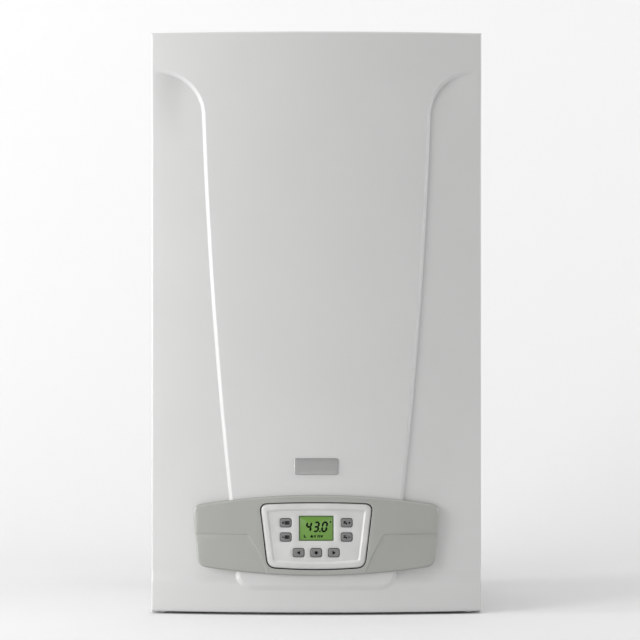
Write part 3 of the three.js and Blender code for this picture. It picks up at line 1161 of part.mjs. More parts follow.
function returnPipe() {
  const { x, y, r } = STUBS.back;
  const pumpX = 2 * UNION_PITCH - 24;
  return pipe([[pumpX, y, BLOCK_Z1 + GAP], [pumpX, y, BLOCK_Z1 + 10], [pumpX - 14, y, BLOCK_Z1 + 24],
    [x + 30, y, BLOCK_Z1 + 46], [x + 4, y, STUB_FOOT - 48], [x, y, STUB_FOOT - 30], [x, y, STUB_FOOT - GAP]],
  r - 3, 12);
}

// The pressure gauge set in the bottom plate, its face downwards.
function gaugeBody() {
  const { x, y, r, foot } = GAUGE;
  const profile = [[r - 2, foot], [r + 3, foot], [r + 3, DECK_Z - GAP], [r, DECK_Z - GAP], [r, DECK_Z + 19],
    [7, DECK_Z + 21], [7, DECK_Z + 33], [0, DECK_Z + 33], [0, DIAL_Z + 3], [r - 2, DIAL_Z + 3], [r - 2, foot]];
  const cup = revolved(profile, 'Z', x, y, 0);
  return fuse(cup, rod('Z', x, y, 0, 1, DIAL_Z - 1.5, DIAL_Z + 4, 10));
}

function gaugeNeedle() {
  const { x, y, r } = GAUGE;
  const tip = r - 6;
  const pointer = outline([[x - 1.2, y - 6, 0], [x + 1.2, y - 6, 0], [x + 0.5, y + tip, 0], [x - 0.5, y + tip, 0]]);
  const hub = rod('Z', x, y, 0, 3, DIAL_Z - 0.5, DIAL_Z + 1.2, 10);
  const bore = rod('Z', x, y, 0, 1 + RUN, DIAL_Z - 3, DIAL_Z + 3, 10);
  return cut(fuse(prism(pointer, 'Z', DIAL_Z - 0.2, DIAL_Z + 0.8), hub), bore);
}

function gaugeLens() {
  const { x, y, r, foot } = GAUGE;
  return rod('Z', x, y, 0, r - 2 - GAP, foot + 1, foot + 2.6, 16);
}

// ---------------------------------------------------------------- colours and assembly

const PAINT = { color: 0xd6d6d4, roughness: 0.35, metalness: 0.1 };
const BEZEL_GREY = { color: 0xa6a7a1, roughness: 0.5, metalness: 0 };
const WHITE_PLASTIC = { color: 0xe4e4e2, roughness: 0.4, metalness: 0 };
const KEY_GREY = { color: 0x7a7b78, roughness: 0.55, metalness: 0 };
const LCD = { color: 0x73a54b, roughness: 0.15, metalness: 0 };
const ZINC = { color: 0xb4b8ba, roughness: 0.4, metalness: 0.9 };
const STAINLESS = { color: 0xc2c4c4, roughness: 0.3, metalness: 1 };
const CAST_ALUMINIUM = { color: 0xa9acad, roughness: 0.55, metalness: 0.9 };
const BLACK_PLASTIC = { color: 0x26272a, roughness: 0.6, metalness: 0 };
const COPPER = { color: 0xb8734a, roughness: 0.3, metalness: 1 };
const BRASS = { color: 0xc2a45a, roughness: 0.35, metalness: 1 };
const VESSEL_RED = { color: 0xa8322a, roughness: 0.45, metalness: 0.1 };
const BOARD_GREEN = { color: 0x2f6b3c, roughness: 0.5, metalness: 0 };
const CERAMIC = { color: 0xeeeae0, roughness: 0.3, metalness: 0 };
const GLASS = { color: 0xdfe8ea, roughness: 0.05, metalness: 0 };

const boiler = new THREE.Group();
boiler.name = 'combi_boiler';

function add(name, geometry, finish) {
  const mesh = new THREE.Mesh(geometry, new THREE.MeshStandardMaterial(finish));
  mesh.name = name;
  boiler.add(mesh);
}

add('front_cover', frontCover(), PAINT);
add('control_bezel', controlBezel(), BEZEL_GREY);
add('badge_plate', badgePlate(), PAINT);
add('side_panel_left', sidePanel(-1), PAINT);
add('side_panel_right', sidePanel(1), PAINT);
add('back_plate', backPlate(), ZINC);
add('top_plate', topPlate(), ZINC);
add('bottom_plate', bottomPlate(), ZINC);
add('cover_screw_left', coverScrew(-1), ZINC);
add('cover_screw_right', coverScrew(1), ZINC);
add('flue_socket', flueSocket(), BLACK_PLASTIC);
add('air_inlet_cap', airInletCap(), BLACK_PLASTIC);
add('flue_pipe', fluePipe(), WHITE_PLASTIC);
add('control_tray', controlTray(), BLACK_PLASTIC);
add('control_lid', controlLid(), BLACK_PLASTIC);
add('control_facia', controlFacia(), WHITE_PLASTIC);
add('display_module', displayModule(), LCD);
KEYS.forEach((place) => add(place.name, key(place), KEY_GREY));
add('display_board', displayBoard(), BOARD_GREEN);
add('main_board', mainBoard(), BOARD_GREEN);
add('heat_exchanger', heatExchanger(), STAINLESS);
add('burner_door', burnerDoor(), CAST_ALUMINIUM);
add('burner', burnerTube(), STAINLESS);
add('ignition_electrode', ignitionElectrode(), CERAMIC);
add('burner_elbow', burnerElbow(), CAST_ALUMINIUM);
add('fan_housing', fanHousing(), CAST_ALUMINIUM);
add('fan_impeller', fanImpeller(), ZINC);
add('fan_motor', fanMotor(), BLACK_PLASTIC);
add('gas_mixer', gasMixer(), CAST_ALUMINIUM);
add('gas_valve', gasValve(), CAST_ALUMINIUM);
add('expansion_vessel', expansionVessel(), VESSEL_RED);
add('pump_body', pumpBody(), BLACK_PLASTIC);
add('pump_motor', pumpMotor(), CAST_ALUMINIUM);
add('plate_heat_exchanger', plateHeatExchanger(), STAINLESS);
add('diverter_block', diverterBlock(), BLACK_PLASTIC);
add('diverter_motor', diverterMotor(), WHITE_PLASTIC);
add('relief_knob', reliefKnob(), VESSEL_RED);
add('condensate_trap', condensateTrap(), WHITE_PLASTIC);
add('gas_pipe', gasPipe(), COPPER);
add('mixer_pipe', mixerPipe(), COPPER);
add('flow_pipe', flowPipe(), COPPER);
add('return_pipe', returnPipe(), COPPER);
UNIONS.forEach((place) => {
  add(place.name, pipeUnion(place), BRASS);
  if (place.lever) add(place.lever, valveLever(place), BLACK_PLASTIC);
});
add('gauge_body', gaugeBody(), BLACK_PLASTIC);
add('gauge_needle', gaugeNeedle(), BLACK_PLASTIC);
add('gauge_lens', gaugeLens(), GLASS);

export default boiler;
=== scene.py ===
# A wall-hung combi boiler, standing for its portrait on a white floor. Metres, +Z up, front at -Y.
# The sections follow the boiler as it is put together: the studio, the case, what hangs in it, the
# pressed cover with its bezel, and the control box with its keys and display.
import json
import math

import bmesh
import bpy
import numpy as np
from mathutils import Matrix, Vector
from mathutils.geometry import delaunay_2d_cdt


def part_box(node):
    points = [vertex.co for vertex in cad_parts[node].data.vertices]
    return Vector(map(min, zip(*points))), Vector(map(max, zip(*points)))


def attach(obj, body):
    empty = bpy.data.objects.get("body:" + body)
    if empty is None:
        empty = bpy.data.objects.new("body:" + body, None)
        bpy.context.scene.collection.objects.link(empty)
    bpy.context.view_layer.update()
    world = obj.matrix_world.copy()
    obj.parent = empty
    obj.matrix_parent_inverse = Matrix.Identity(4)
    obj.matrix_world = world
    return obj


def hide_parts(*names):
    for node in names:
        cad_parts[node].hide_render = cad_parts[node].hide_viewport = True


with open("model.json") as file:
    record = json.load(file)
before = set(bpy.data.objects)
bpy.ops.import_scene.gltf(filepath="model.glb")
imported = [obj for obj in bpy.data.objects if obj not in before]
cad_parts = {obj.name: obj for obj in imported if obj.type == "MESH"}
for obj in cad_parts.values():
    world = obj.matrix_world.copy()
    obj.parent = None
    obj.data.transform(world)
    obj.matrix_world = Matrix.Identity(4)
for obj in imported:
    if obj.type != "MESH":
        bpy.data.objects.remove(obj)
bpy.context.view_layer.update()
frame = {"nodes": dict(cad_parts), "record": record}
mm = 0.001


# ------------------------------------------------------------------------------------------ studio
# A white floor that curves up into a white wall, which is clear from behind. Soft lights stand on both
# sides and overhead, and two weak ones lift the foot and the wall. The camera looks straight on from
# three metres.
CAMERA_BACK = 3.0
CAMERA_Z = 353 * mm
LENS = 140.27
SHIFT_X = 0.00586
SHIFT_Y = 0.00335
FLOOR_FRONT = -6.0
FLOOR_BACK = 1.6
WALL_HEIGHT = 4.2
COVE = 1.1
COVE_STEPS = 12
FLOOR_HALF = 5.0
STUDIO_WHITE = (0.765, 0.765, 0.765)
AIR_STRENGTH = 0.335

cover_low, cover_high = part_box("front_cover")

camera_data = bpy.data.cameras.new("camera")
camera_data.sensor_width = 36
camera_data.lens = LENS
camera_data.shift_x = SHIFT_X
camera_data.shift_y = SHIFT_Y
camera = bpy.data.objects.new("camera", camera_data)
camera.location = (0, cover_low.y - CAMERA_BACK, CAMERA_Z)
camera.rotation_euler = (math.radians(90), 0, 0)
bpy.context.scene.collection.objects.link(camera)
bpy.context.scene.camera = camera
bpy.context.scene.view_settings.view_transform = "Standard"


def new_piece(name, verts, faces, finishes, indices=None):
    """A mesh object of this name, with its finishes and a finish index for each face."""
    mesh = bpy.data.meshes.new(name)
    mesh.from_pydata([tuple(v) for v in verts], [], [tuple(f) for f in faces])
    for finish in finishes:
        mesh.materials.append(finish)
    if indices is not None:
        mesh.polygons.foreach_set("material_index", indices)
    piece = bpy.data.objects.new(name, mesh)
    bpy.context.scene.collection.objects.link(piece)
    return piece


def new_finish(name, colour, roughness, metallic=0.0):
    """A finish of this colour, with its shader, and object coordinates for its detail."""
    finish = bpy.data.materials.new(name)
    finish.use_nodes = True
    tree = finish.node_tree
    shader = tree.nodes["Principled BSDF"]
    shader.inputs["Base Color"].default_value = (*colour, 1)
    shader.inputs["Roughness"].default_value = roughness
    shader.inputs["Metallic"].default_value = metallic
    place = tree.nodes.new("ShaderNodeTexCoord").outputs["Object"]
    return finish, tree, shader, place


def grain(tree, place, scale, detail=2.0, rough=0.5):
    """Fine noise over the surface, `scale` grains to the metre."""
    node = tree.nodes.new("ShaderNodeTexNoise")
    node.inputs["Scale"].default_value = scale
    node.inputs["Detail"].default_value = detail
    node.inputs["Roughness"].default_value = rough
    tree.links.new(place, node.inputs["Vector"])
    return node.outputs["Fac"]


def emboss(tree, shader, value, depth, strength):
    """Relief of this depth in metres."""
    node = tree.nodes.new("ShaderNodeBump")
    node.inputs["Strength"].default_value = strength
    node.inputs["Distance"].default_value = depth
    tree.links.new(value, node.inputs["Height"])
    tree.links.new(node.outputs["Normal"], shader.inputs["Normal"])


def studio_floor():
    profile = [(FLOOR_FRONT, 0.0), (FLOOR_BACK - COVE, 0.0)]
    for step in range(1, COVE_STEPS + 1):
        angle = math.pi / 2 * step / COVE_STEPS
        profile.append((FLOOR_BACK - COVE + COVE * math.sin(angle), COVE * (1 - math.cos(angle))))
    profile.append((FLOOR_BACK, WALL_HEIGHT))
    verts = [(side * FLOOR_HALF, y, z) for y, z in profile for side in (-1, 1)]
    faces = [(2 * i, 2 * i + 1, 2 * i + 3, 2 * i + 2) for i in range(len(profile) - 1)]
    finish, tree, shader, place = new_finish("studio_white", STUDIO_WHITE, 0.9)
    emboss(tree, shader, grain(tree, place, 40), 0.0005, 0.2)
    seen_from_behind = tree.nodes.new("ShaderNodeNewGeometry").outputs["Backfacing"]
    clear = tree.nodes.new("ShaderNodeBsdfTransparent")
    one_sided = tree.nodes.new("ShaderNodeMixShader")
    tree.links.new(seen_from_behind, one_sided.inputs[0])
    tree.links.new(shader.outputs["BSDF"], one_sided.inputs[1])
    tree.links.new(clear.outputs["BSDF"], one_sided.inputs[2])
    tree.links.new(one_sided.outputs["Shader"], tree.nodes["Material Output"].inputs["Surface"])
    floor = new_piece("studio_floor", verts, faces, [finish])
    floor.data.shade_smooth()


def soft_light(name, place, aim, size, power):
    data = bpy.data.lights.new(name, "AREA")
    data.shape = "RECTANGLE"
    data.size, data.size_y = size
    data.energy = power
    light = bpy.data.objects.new(name, data)
    light.location = place
    light.rotation_euler = (Vector(aim) - Vector(place)).to_track_quat("-Z", "Y").to_euler()
    light.visible_camera = False
    bpy.context.scene.collection.objects.link(light)


studio_floor()
soft_light("key_light", (-2.3, -1.9, 1.0), (0, -0.1, 0.35), (1.3, 2.0), 48.5)
soft_light("side_light", (-2.6, -0.5, 0.55), (0, -0.15, 0.35), (0.5, 1.8), 48)
soft_light("rim_light", (2.6, -0.45, 0.5), (0, -0.1, 0.3), (0.6, 2.0), 27)
soft_light("foot_light", (0.1, -1.0, 0.03), (0.1, 0, 0.25), (1.4, 0.05), 0.55)
soft_light("wall_light", (1.9, 0.1, 0.9), (0.8, 1.6, 0.35), (0.8, 1.6), 4.5)
soft_light("top_light", (0.0, -0.6, 3.0), (0, 0.1, 0), (2.6, 2.2), 31.5)
world = bpy.data.worlds.new("studio_air")
world.use_nodes = True
world.node_tree.nodes["Background"].inputs["Color"].default_value = (1, 1, 1, 1)
world.node_tree.nodes["Background"].inputs["Strength"].default_value = AIR_STRENGTH
bpy.context.scene.world = world


# -------------------------------------------------------------------------------------- steel case
# Two side panels of folded sheet, powder coated white like the cover, spot welded to zinc-coated
# plates at the back, the top and the bottom.
WHITE = (0.535, 0.535, 0.53)
ZINC = (0.60, 0.62, 0.63)
FOLD_EDGE = 0.4 * mm
SOFT_ANGLE = math.radians(33)


def spread(tree, value, low, high, start=0.3, end=0.7):
    """A value spread between two limits."""
    node = tree.nodes.new("ShaderNodeMapRange")
    node.inputs["From Min"].default_value = start
    node.inputs["From Max"].default_value = end
    node.inputs["To Min"].default_value = low
    node.inputs["To Max"].default_value = high
    tree.links.new(value, node.inputs["Value"])
    return node.outputs["Result"]


def tint(tree, shader, value, dark, light):
    """The base colour, from dark to light with a value."""
    node = tree.nodes.new("ShaderNodeMix")
    node.data_type = "RGBA"
    node.inputs[6].default_value = (*dark, 1)
    node.inputs[7].default_value = (*light, 1)
    tree.links.new(value, node.inputs[0])
    tree.links.new(node.outputs[2], shader.inputs["Base Color"])


def shaded(colour, factor):
    return tuple(min(1.0, c * factor) for c in colour)


def mottled(tree, shader, place, colour, scale, dark, light, detail=2.0):
    """The base colour, wandering a little between two shades of one colour."""
    value = spread(tree, grain(tree, place, scale, detail), 0, 1)
    tint(tree, shader, value, shaded(colour, dark), shaded(colour, light))


def white_enamel():
    finish, tree, shader, place = new_finish("white_enamel", WHITE, 0.36)
    shader.inputs["Coat Weight"].default_value = 0.25
    shader.inputs["Coat Roughness"].default_value = 0.22
    mottled(tree, shader, place, WHITE, 9, 0.985, 1.01)
    emboss(tree, shader, grain(tree, place, 620, 1.0), 0.00002, 0.35)
    return finish


def zinc_plate():
    finish, tree, shader, place = new_finish("zinc_plate", ZINC, 0.38, 0.85)
    cells = tree.nodes.new("ShaderNodeTexVoronoi")
    cells.inputs["Scale"].default_value = 95
    tree.links.new(place, cells.inputs["Vector"])
    spangle = spread(tree, cells.outputs["Color"], 0, 1, 0.0, 1.0)
    tint(tree, shader, spangle, shaded(ZINC, 0.82), shaded(ZINC, 1.12))
    tree.links.new(spread(tree, spangle, 0.3, 0.5, 0, 1), shader.inputs["Roughness"])
    emboss(tree, shader, grain(tree, place, 300), 0.00003, 0.4)
    return finish


def softened(node, finish, edge=FOLD_EDGE, segments=2):
    """A CAD piece with its edges broken and its round faces smooth, in its finish."""
    source = frame["nodes"][node]
    work = bmesh.new()
    work.from_mesh(source.data)
    bmesh.ops.remove_doubles(work, verts=work.verts, dist=2e-6)
    bmesh.ops.dissolve_limit(work, angle_limit=math.radians(0.8), verts=work.verts, edges=work.edges)
    if edge:
        sharp = [e for e in work.edges if len(e.link_faces) == 2 and e.calc_face_angle(0) > SOFT_ANGLE]
        bmesh.ops.bevel(work, geom=sharp, offset=edge, segments=segments, profile=0.5,
                        affect="EDGES", clamp_overlap=True)
    bmesh.ops.recalc_face_normals(work, faces=work.faces)
    mesh = bpy.data.meshes.new(f"{node}_piece")
    work.to_mesh(mesh)
    work.free()
    mesh.materials.append(finish)
    mesh.shade_smooth()
    mesh.set_sharp_from_angle(angle=SOFT_ANGLE)
    piece = bpy.data.objects.new(f"{node}_piece", mesh)
    bpy.context.scene.collection.objects.link(piece)
    ride_for(piece, node)
    return piece


def ride_for(piece, *nodes):
    """The piece stands for these CAD nodes and moves with their body."""
    bodies = frame["record"]["behaviour"]["bodies"]
    body = next(name for name, members in bodies.items() if nodes[0] in members)
    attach(piece, body)
    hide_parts(*nodes)


ENAMEL = white_enamel()
ZINCED = zinc_plate()
for side in ("left", "right"):
    softened(f"side_panel_{side}", ENAMEL)
    softened(f"cover_screw_{side}", ZINCED, 0.2 * mm)
for plate in ("back_plate", "top_plate", "bottom_plate"):
    softened(plate, ZINCED, 0.3 * mm)


# ---------------------------------------------------------------------------- moulded flue fittings
# The black collar and the blanking cap on the top plate, and the white exhaust pipe that runs up
# from the heat exchanger.
BLACK = (0.022, 0.022, 0.024)
PIPE_WHITE = (0.78, 0.78, 0.76)


def fine_plastic(name, colour, roughness, bump=0.5):
    finish, tree, shader, place = new_finish(name, colour, roughness)
    mottled(tree, shader, place, colour, 35, 0.95, 1.05)
    emboss(tree, shader, grain(tree, place, 1500, 1.0), 0.00002, bump)
    return finish


BLACK_PLASTIC = fine_plastic("black_plastic", BLACK, 0.45)
WHITE_PLASTIC = fine_plastic("white_plastic", PIPE_WHITE, 0.4)
softened("flue_socket", BLACK_PLASTIC)
softened("air_inlet_cap", BLACK_PLASTIC)
softened("flue_pipe", WHITE_PLASTIC)


# --------------------------------------------------------------------------------- burner and fan
# A stainless heat exchanger closed by a cast aluminium burner door, fed by a fan with its mixer and
# cast duct.
STEEL = (0.62, 0.61, 0.6)
ALUMINIUM = (0.56, 0.565, 0.57)
CERAMIC = (0.84, 0.82, 0.76)


def brushed_steel():
    finish, tree, shader, place = new_finish("brushed_stainless", STEEL, 0.3, 0.95)
    stretch = tree.nodes.new("ShaderNodeMapping")
    stretch.inputs["Scale"].default_value = (1, 22, 22)
    tree.links.new(place, stretch.inputs["Vector"])
    lines = grain(tree, stretch.outputs["Vector"], 40, 4)
    tree.links.new(spread(tree, lines, 0.22, 0.42), shader.inputs["Roughness"])
    mottled(tree, shader, place, STEEL, 14, 0.9, 1.05)
    emboss(tree, shader, lines, 0.00003, 0.25)
    return finish


def cast_aluminium():
    finish, tree, shader, place = new_finish("cast_aluminium", ALUMINIUM, 0.5, 0.85)
    mottled(tree, shader, place, ALUMINIUM, 60, 0.82, 1.06, 4)
    emboss(tree, shader, grain(tree, place, 700, 3), 0.00012, 0.6)
    return finish


STAINLESS = brushed_steel()
CAST = cast_aluminium()
GLAZED = fine_plastic("glazed_ceramic", CERAMIC, 0.15, 0.1)
softened("heat_exchanger", STAINLESS, 0.8 * mm)
softened("burner", STAINLESS)
softened("ignition_electrode", GLAZED, 0.3 * mm)
for cast in ("burner_door", "burner_elbow", "fan_housing", "gas_mixer", "gas_valve"):
    softened(cast, CAST, 0.9 * mm, 3)
softened("fan_impeller", CAST, 0.2 * mm)
softened("fan_motor", BLACK_PLASTIC, 0.8 * mm, 3)


# ------------------------------------------------------------------------------- pump and hydraulics
# Composite water blocks stand on the unions and carry the pump, the plate heat exchanger, the
# diverter's motor and the relief valve. The expansion vessel is pressed steel, enamelled red.
RED = (0.42, 0.035, 0.025)
BRASS = (0.72, 0.53, 0.24)
COPPER = (0.72, 0.36, 0.22)


def drawn_metal(name, colour, roughness):
    finish, tree, shader, place = new_finish(name, colour, roughness, 0.95)
    mottled(tree, shader, place, colour, 30, 0.78, 1.08, 4)
    tree.links.new(spread(tree, grain(tree, place, 80, 3), roughness - 0.06, roughness + 0.14),
                   shader.inputs["Roughness"])
    emboss(tree, shader, grain(tree, place, 400, 2), 0.00003, 0.3)
    return finish


TURNED_BRASS = drawn_metal("turned_brass", BRASS, 0.26)
DRAWN_COPPER = drawn_metal("drawn_copper", COPPER, 0.28)
RED_ENAMEL = fine_plastic("red_enamel", RED, 0.35, 0.4)
softened("expansion_vessel", RED_ENAMEL, 1.5 * mm, 3)
softened("pump_body", BLACK_PLASTIC, 0.8 * mm)
softened("pump_motor", CAST, 0.8 * mm)
softened("plate_heat_exchanger", STAINLESS, 0.6 * mm)
softened("diverter_block", BLACK_PLASTIC, 0.8 * mm)
softened("diverter_motor", WHITE_PLASTIC, 0.8 * mm)
softened("condensate_trap", WHITE_PLASTIC, 0.8 * mm)
softened("relief_knob", RED_ENAMEL, 0.5 * mm)
for pipe in ("gas_pipe", "mixer_pipe", "flow_pipe", "return_pipe"):
    softened(pipe, DRAWN_COPPER, 0)


# ------------------------------------------------------------------------ unions, levers and gauge
# Five brass tails under the bottom plate, three of them with a quarter-turn lever, and the pressure
# gauge that looks down through the plate.
YELLOW = (0.72, 0.46, 0.03)
YELLOW_PLASTIC = fine_plastic("yellow_plastic", YELLOW, 0.4)
for use in ("heating_flow", "hot_water", "gas", "cold_water", "heating_return"):
    softened(f"union_{use}", TURNED_BRASS, 0.3 * mm)
LEVERS = {"heating_flow": BLACK_PLASTIC, "gas": YELLOW_PLASTIC, "heating_return": BLACK_PLASTIC}
for use, plastic in LEVERS.items():
    softened(f"lever_{use}", plastic, 0.6 * mm)


def clear_lens():
    finish, tree, shader, place = new_finish("clear_lens", (0.93, 0.96, 0.96), 0.05)
    shader.inputs["Transmission Weight"].default_value = 0.9
    shader.inputs["IOR"].default_value = 1.49
    emboss(tree, shader, grain(tree, place, 60), 0.00002, 0.1)
    return finish


softened("gauge_body", BLACK_PLASTIC)
softened("gauge_needle", RED_ENAMEL, 0)
softened("gauge_lens", clear_lens(), 0.2 * mm)


# ------------------------------------------------------------------------------------- front cover
# One pressed sheet of steel, bowed from side to side, with a raised field whose edges run down from
# two bends at the top, and returns all round. It is powder coated white.
SHEET = 1.2 * mm
HALF_WIDTH = 200 * mm
BOW = 18.6 * mm
BOW_RADIUS = (HALF_WIDTH**2 + BOW**2) / (2 * BOW)
CROWN_Y = cover_low.y
RETURN_Y = cover_high.y
COVER_LOW = cover_low.z
COVER_HIGH = cover_high.z
RELIEF = 5 * mm
BAND = 4.4 * mm
FIELD_TOP_HALF = 133.6 * mm
FIELD_LOW_HALF = 101.6 * mm
FIELD_FOOT_HALF = 92.5 * mm
FIELD_LOW_Z = 149.5 * mm
FIELD_FOOT_Z = 53.5 * mm
FOOT_R = 16.5 * mm
FIELD_TIP_HALF = FIELD_FOOT_HALF - FOOT_R
FIELD_TIP_Z = FIELD_FOOT_Z - FOOT_R
BEND_Z = 600.9 * mm
BEND_R = 57.2 * mm
BEND_X = FIELD_TOP_HALF + BEND_R
SLOPE_OUT = (0, 0.1, 0.2, 0.68, 0.8, 0.93, 1)
SLOPE_BACK = (0, 0.015, 0.07, 0.6, 0.8, 0.985, 1)
FOOT_FADE = 0.62
RUN_OUT_X = 156 * mm
RUN_OUT_W = 44 * mm
RUN_OUT_DROP = 50 * mm
RUN_OUT_H = 106 * mm
LINES_OUT = (-1.2, 0, 0.3, 0.6, 0.95, 1.5, 2.3, 3, 3.5, 3.9, 4.4, 5.4, 6.6, 7.8)
SHEET_BEND = 2.6 * mm
BEND_STEPS = 4


def bow_at(x):
    """How far the bowed front lies behind its crown."""
    return BOW_RADIUS - np.sqrt(BOW_RADIUS**2 - np.square(x))


def smooth(t):
    t = np.clip(t, 0, 1)
    return t * t * (3 - 2 * t)


def field_half(z):
    """Half-width of the raised field below its bends."""
    upper = np.clip((BEND_Z - z) / (BEND_Z - FIELD_LOW_Z), 0, 1)
    half = FIELD_TOP_HALF - (FIELD_TOP_HALF - FIELD_LOW_HALF) * (0.5 * upper + 0.5 * upper**2)
    lower = np.clip((z - FIELD_FOOT_Z) / (FIELD_LOW_Z - FIELD_FOOT_Z), 0, 1)
    return np.where(z < FIELD_LOW_Z, FIELD_FOOT_HALF + (FIELD_LOW_HALF - FIELD_FOOT_HALF) * lower, half)


def field_edge(z, out):
    """x of the line that runs `out` outside the field's edge."""
    if z < FIELD_FOOT_Z:
        return FIELD_TIP_HALF + math.sqrt(max(0.0, (FOOT_R + out) ** 2 - (FIELD_FOOT_Z - z) ** 2))
    if z <= BEND_Z:
        return float(field_half(z)) + out
    reach = (BEND_R - out) ** 2 - (z - BEND_Z) ** 2
    return BEND_X - math.sqrt(max(0.0, reach))


def outside_field(x, z):
    up = z - BEND_Z
    side = np.where(x < BEND_X, BEND_R - np.hypot(BEND_X - x, up), BEND_R - up)
    foot = np.hypot(np.maximum(x - FIELD_TIP_HALF, 0), FIELD_FOOT_Z - z) - FOOT_R
    return np.where(z < FIELD_FOOT_Z, foot, np.where(z <= BEND_Z, x - field_half(z), side))


def relief_at(x, z):
    """How far the wings lie behind the field, running out where the bends meet the sides."""
    x = np.abs(x)
    run_out = smooth((x - RUN_OUT_X) / RUN_OUT_W) * smooth((z - BEND_Z + RUN_OUT_DROP) / RUN_OUT_H)
    fading = 1 - FOOT_FADE * smooth((FIELD_FOOT_Z - z) / FOOT_R)
    t = outside_field(x, z) / (BAND * (2 - fading))
    return RELIEF * np.interp(t, SLOPE_OUT, SLOPE_BACK) * fading * (1 - run_out)


def cover_y(x, z):
    return CROWN_Y + bow_at(x) + relief_at(x, z)


def spaced(marks, counts):
    """Places from mark to mark, each stretch with its own count."""
    places = [marks[0]]
    for a, b, count in zip(marks, marks[1:], counts):
        places += [a + (b - a) * (i + 1) / count for i in range(count)]
    return places


def applied(piece):
    """The piece with its modifiers made part of its mesh."""
    evaluated = piece.evaluated_get(bpy.context.evaluated_depsgraph_get())
    mesh = bpy.data.meshes.new_from_object(evaluated)
    piece.modifiers.clear()
    old = piece.data
    piece.data = mesh
    bpy.data.meshes.remove(old)
    mesh.name = piece.name


def sharpened(piece, degrees=33):
    piece.data.shade_smooth()
    piece.data.set_sharp_from_angle(angle=math.radians(degrees))


def rounded_outline(corners, steps=8):
    """An outline through (x, z, radius) corners, anticlockwise, each corner a quadratic curve."""
    points = []
    for i, (x, z, radius) in enumerate(corners):
        corner = Vector((x, z))
        before = Vector(corners[i - 1][:2]) - corner
        after = Vector(corners[(i + 1) % len(corners)][:2]) - corner
        enter = corner + before.normalized() * min(radius, before.length * 0.49)
        leave = corner + after.normalized() * min(radius, after.length * 0.49)
        for step in range(steps + 1):
            t = step / steps
            points.append((1 - t) ** 2 * enter + 2 * t * (1 - t) * corner + t * t * leave)
    return np.array([tuple(p) for p in points])


FACIA_TOP = 133.8 * mm
FACIA_LOW = 58.8 * mm
FACIA_TOP_HALF = 67.4 * mm
FACIA_LOW_HALF = 58.3 * mm
FACIA_TOP_RISE = 1.9 * mm
FACIA_LOW_SAG = 2.6 * mm
FACIA_CORNER = 9 * mm
FACIA_GAP = 1.1 * mm
BEZEL_WALL = 2.2 * mm
OPENING_CLEAR = 1.7 * mm
CUT_REACH = 20 * mm


def facia_outline(grow, corner=None):
    """The control opening's outline, grown past the facia: a keystone with bowed long sides."""
    lean = (FACIA_TOP_HALF - FACIA_LOW_HALF) / (FACIA_TOP - FACIA_LOW)
    top, low = FACIA_TOP_HALF + grow * (1 + lean), FACIA_LOW_HALF + grow * (1 - lean)
    radius = FACIA_CORNER + grow if corner is None else corner
    z0, z1 = FACIA_LOW - grow, FACIA_TOP + grow
    low_side = [(-low * 0.5, z0, 0), (0, z0, 0), (low * 0.5, z0, 0)]
    top_side = [(top * 0.5, z1, 0), (0, z1, 0), (-top * 0.5, z1, 0)]
    points = rounded_outline([(-low, z0, radius), *low_side, (low, z0, radius), (top, z1, radius),
                              *top_side, (-top, z1, radius)])
    points = refined(points, 4 * mm)
    upper = points[:, 1] > (z0 + z1) / 2
    bow = np.clip(1 - (points[:, 0] / np.where(upper, top, low)) ** 2, 0, 1)
    points[:, 1] += np.where(upper, FACIA_TOP_RISE, -FACIA_LOW_SAG) * bow
    return points


def refined(points, pitch):
    """A closed outline with points no further apart than a pitch."""
    out = []
    for a, b in zip(points, np.roll(points, -1, axis=0)):
        gap = np.hypot(*(b - a))
        if gap < 1e-7:
            continue
        count = max(1, math.ceil(gap / pitch))
        out += [a + (b - a) * i / count for i in range(count)]
    return np.array(out)


def prism_tool(points, front, back):
    """A plain prism with this outline, used to cut."""
    count = len(points)
    verts = [(x, y, z) for y in (front, back) for x, z in points]
    faces = [tuple(range(count)), tuple(range(2 * count - 1, count - 1, -1))]
    faces += [(i + count, (i + 1) % count + count, (i + 1) % count, i) for i in range(count)]
    tool = new_piece("cutter", verts, faces, [])
    tool.hide_render = True
    return tool


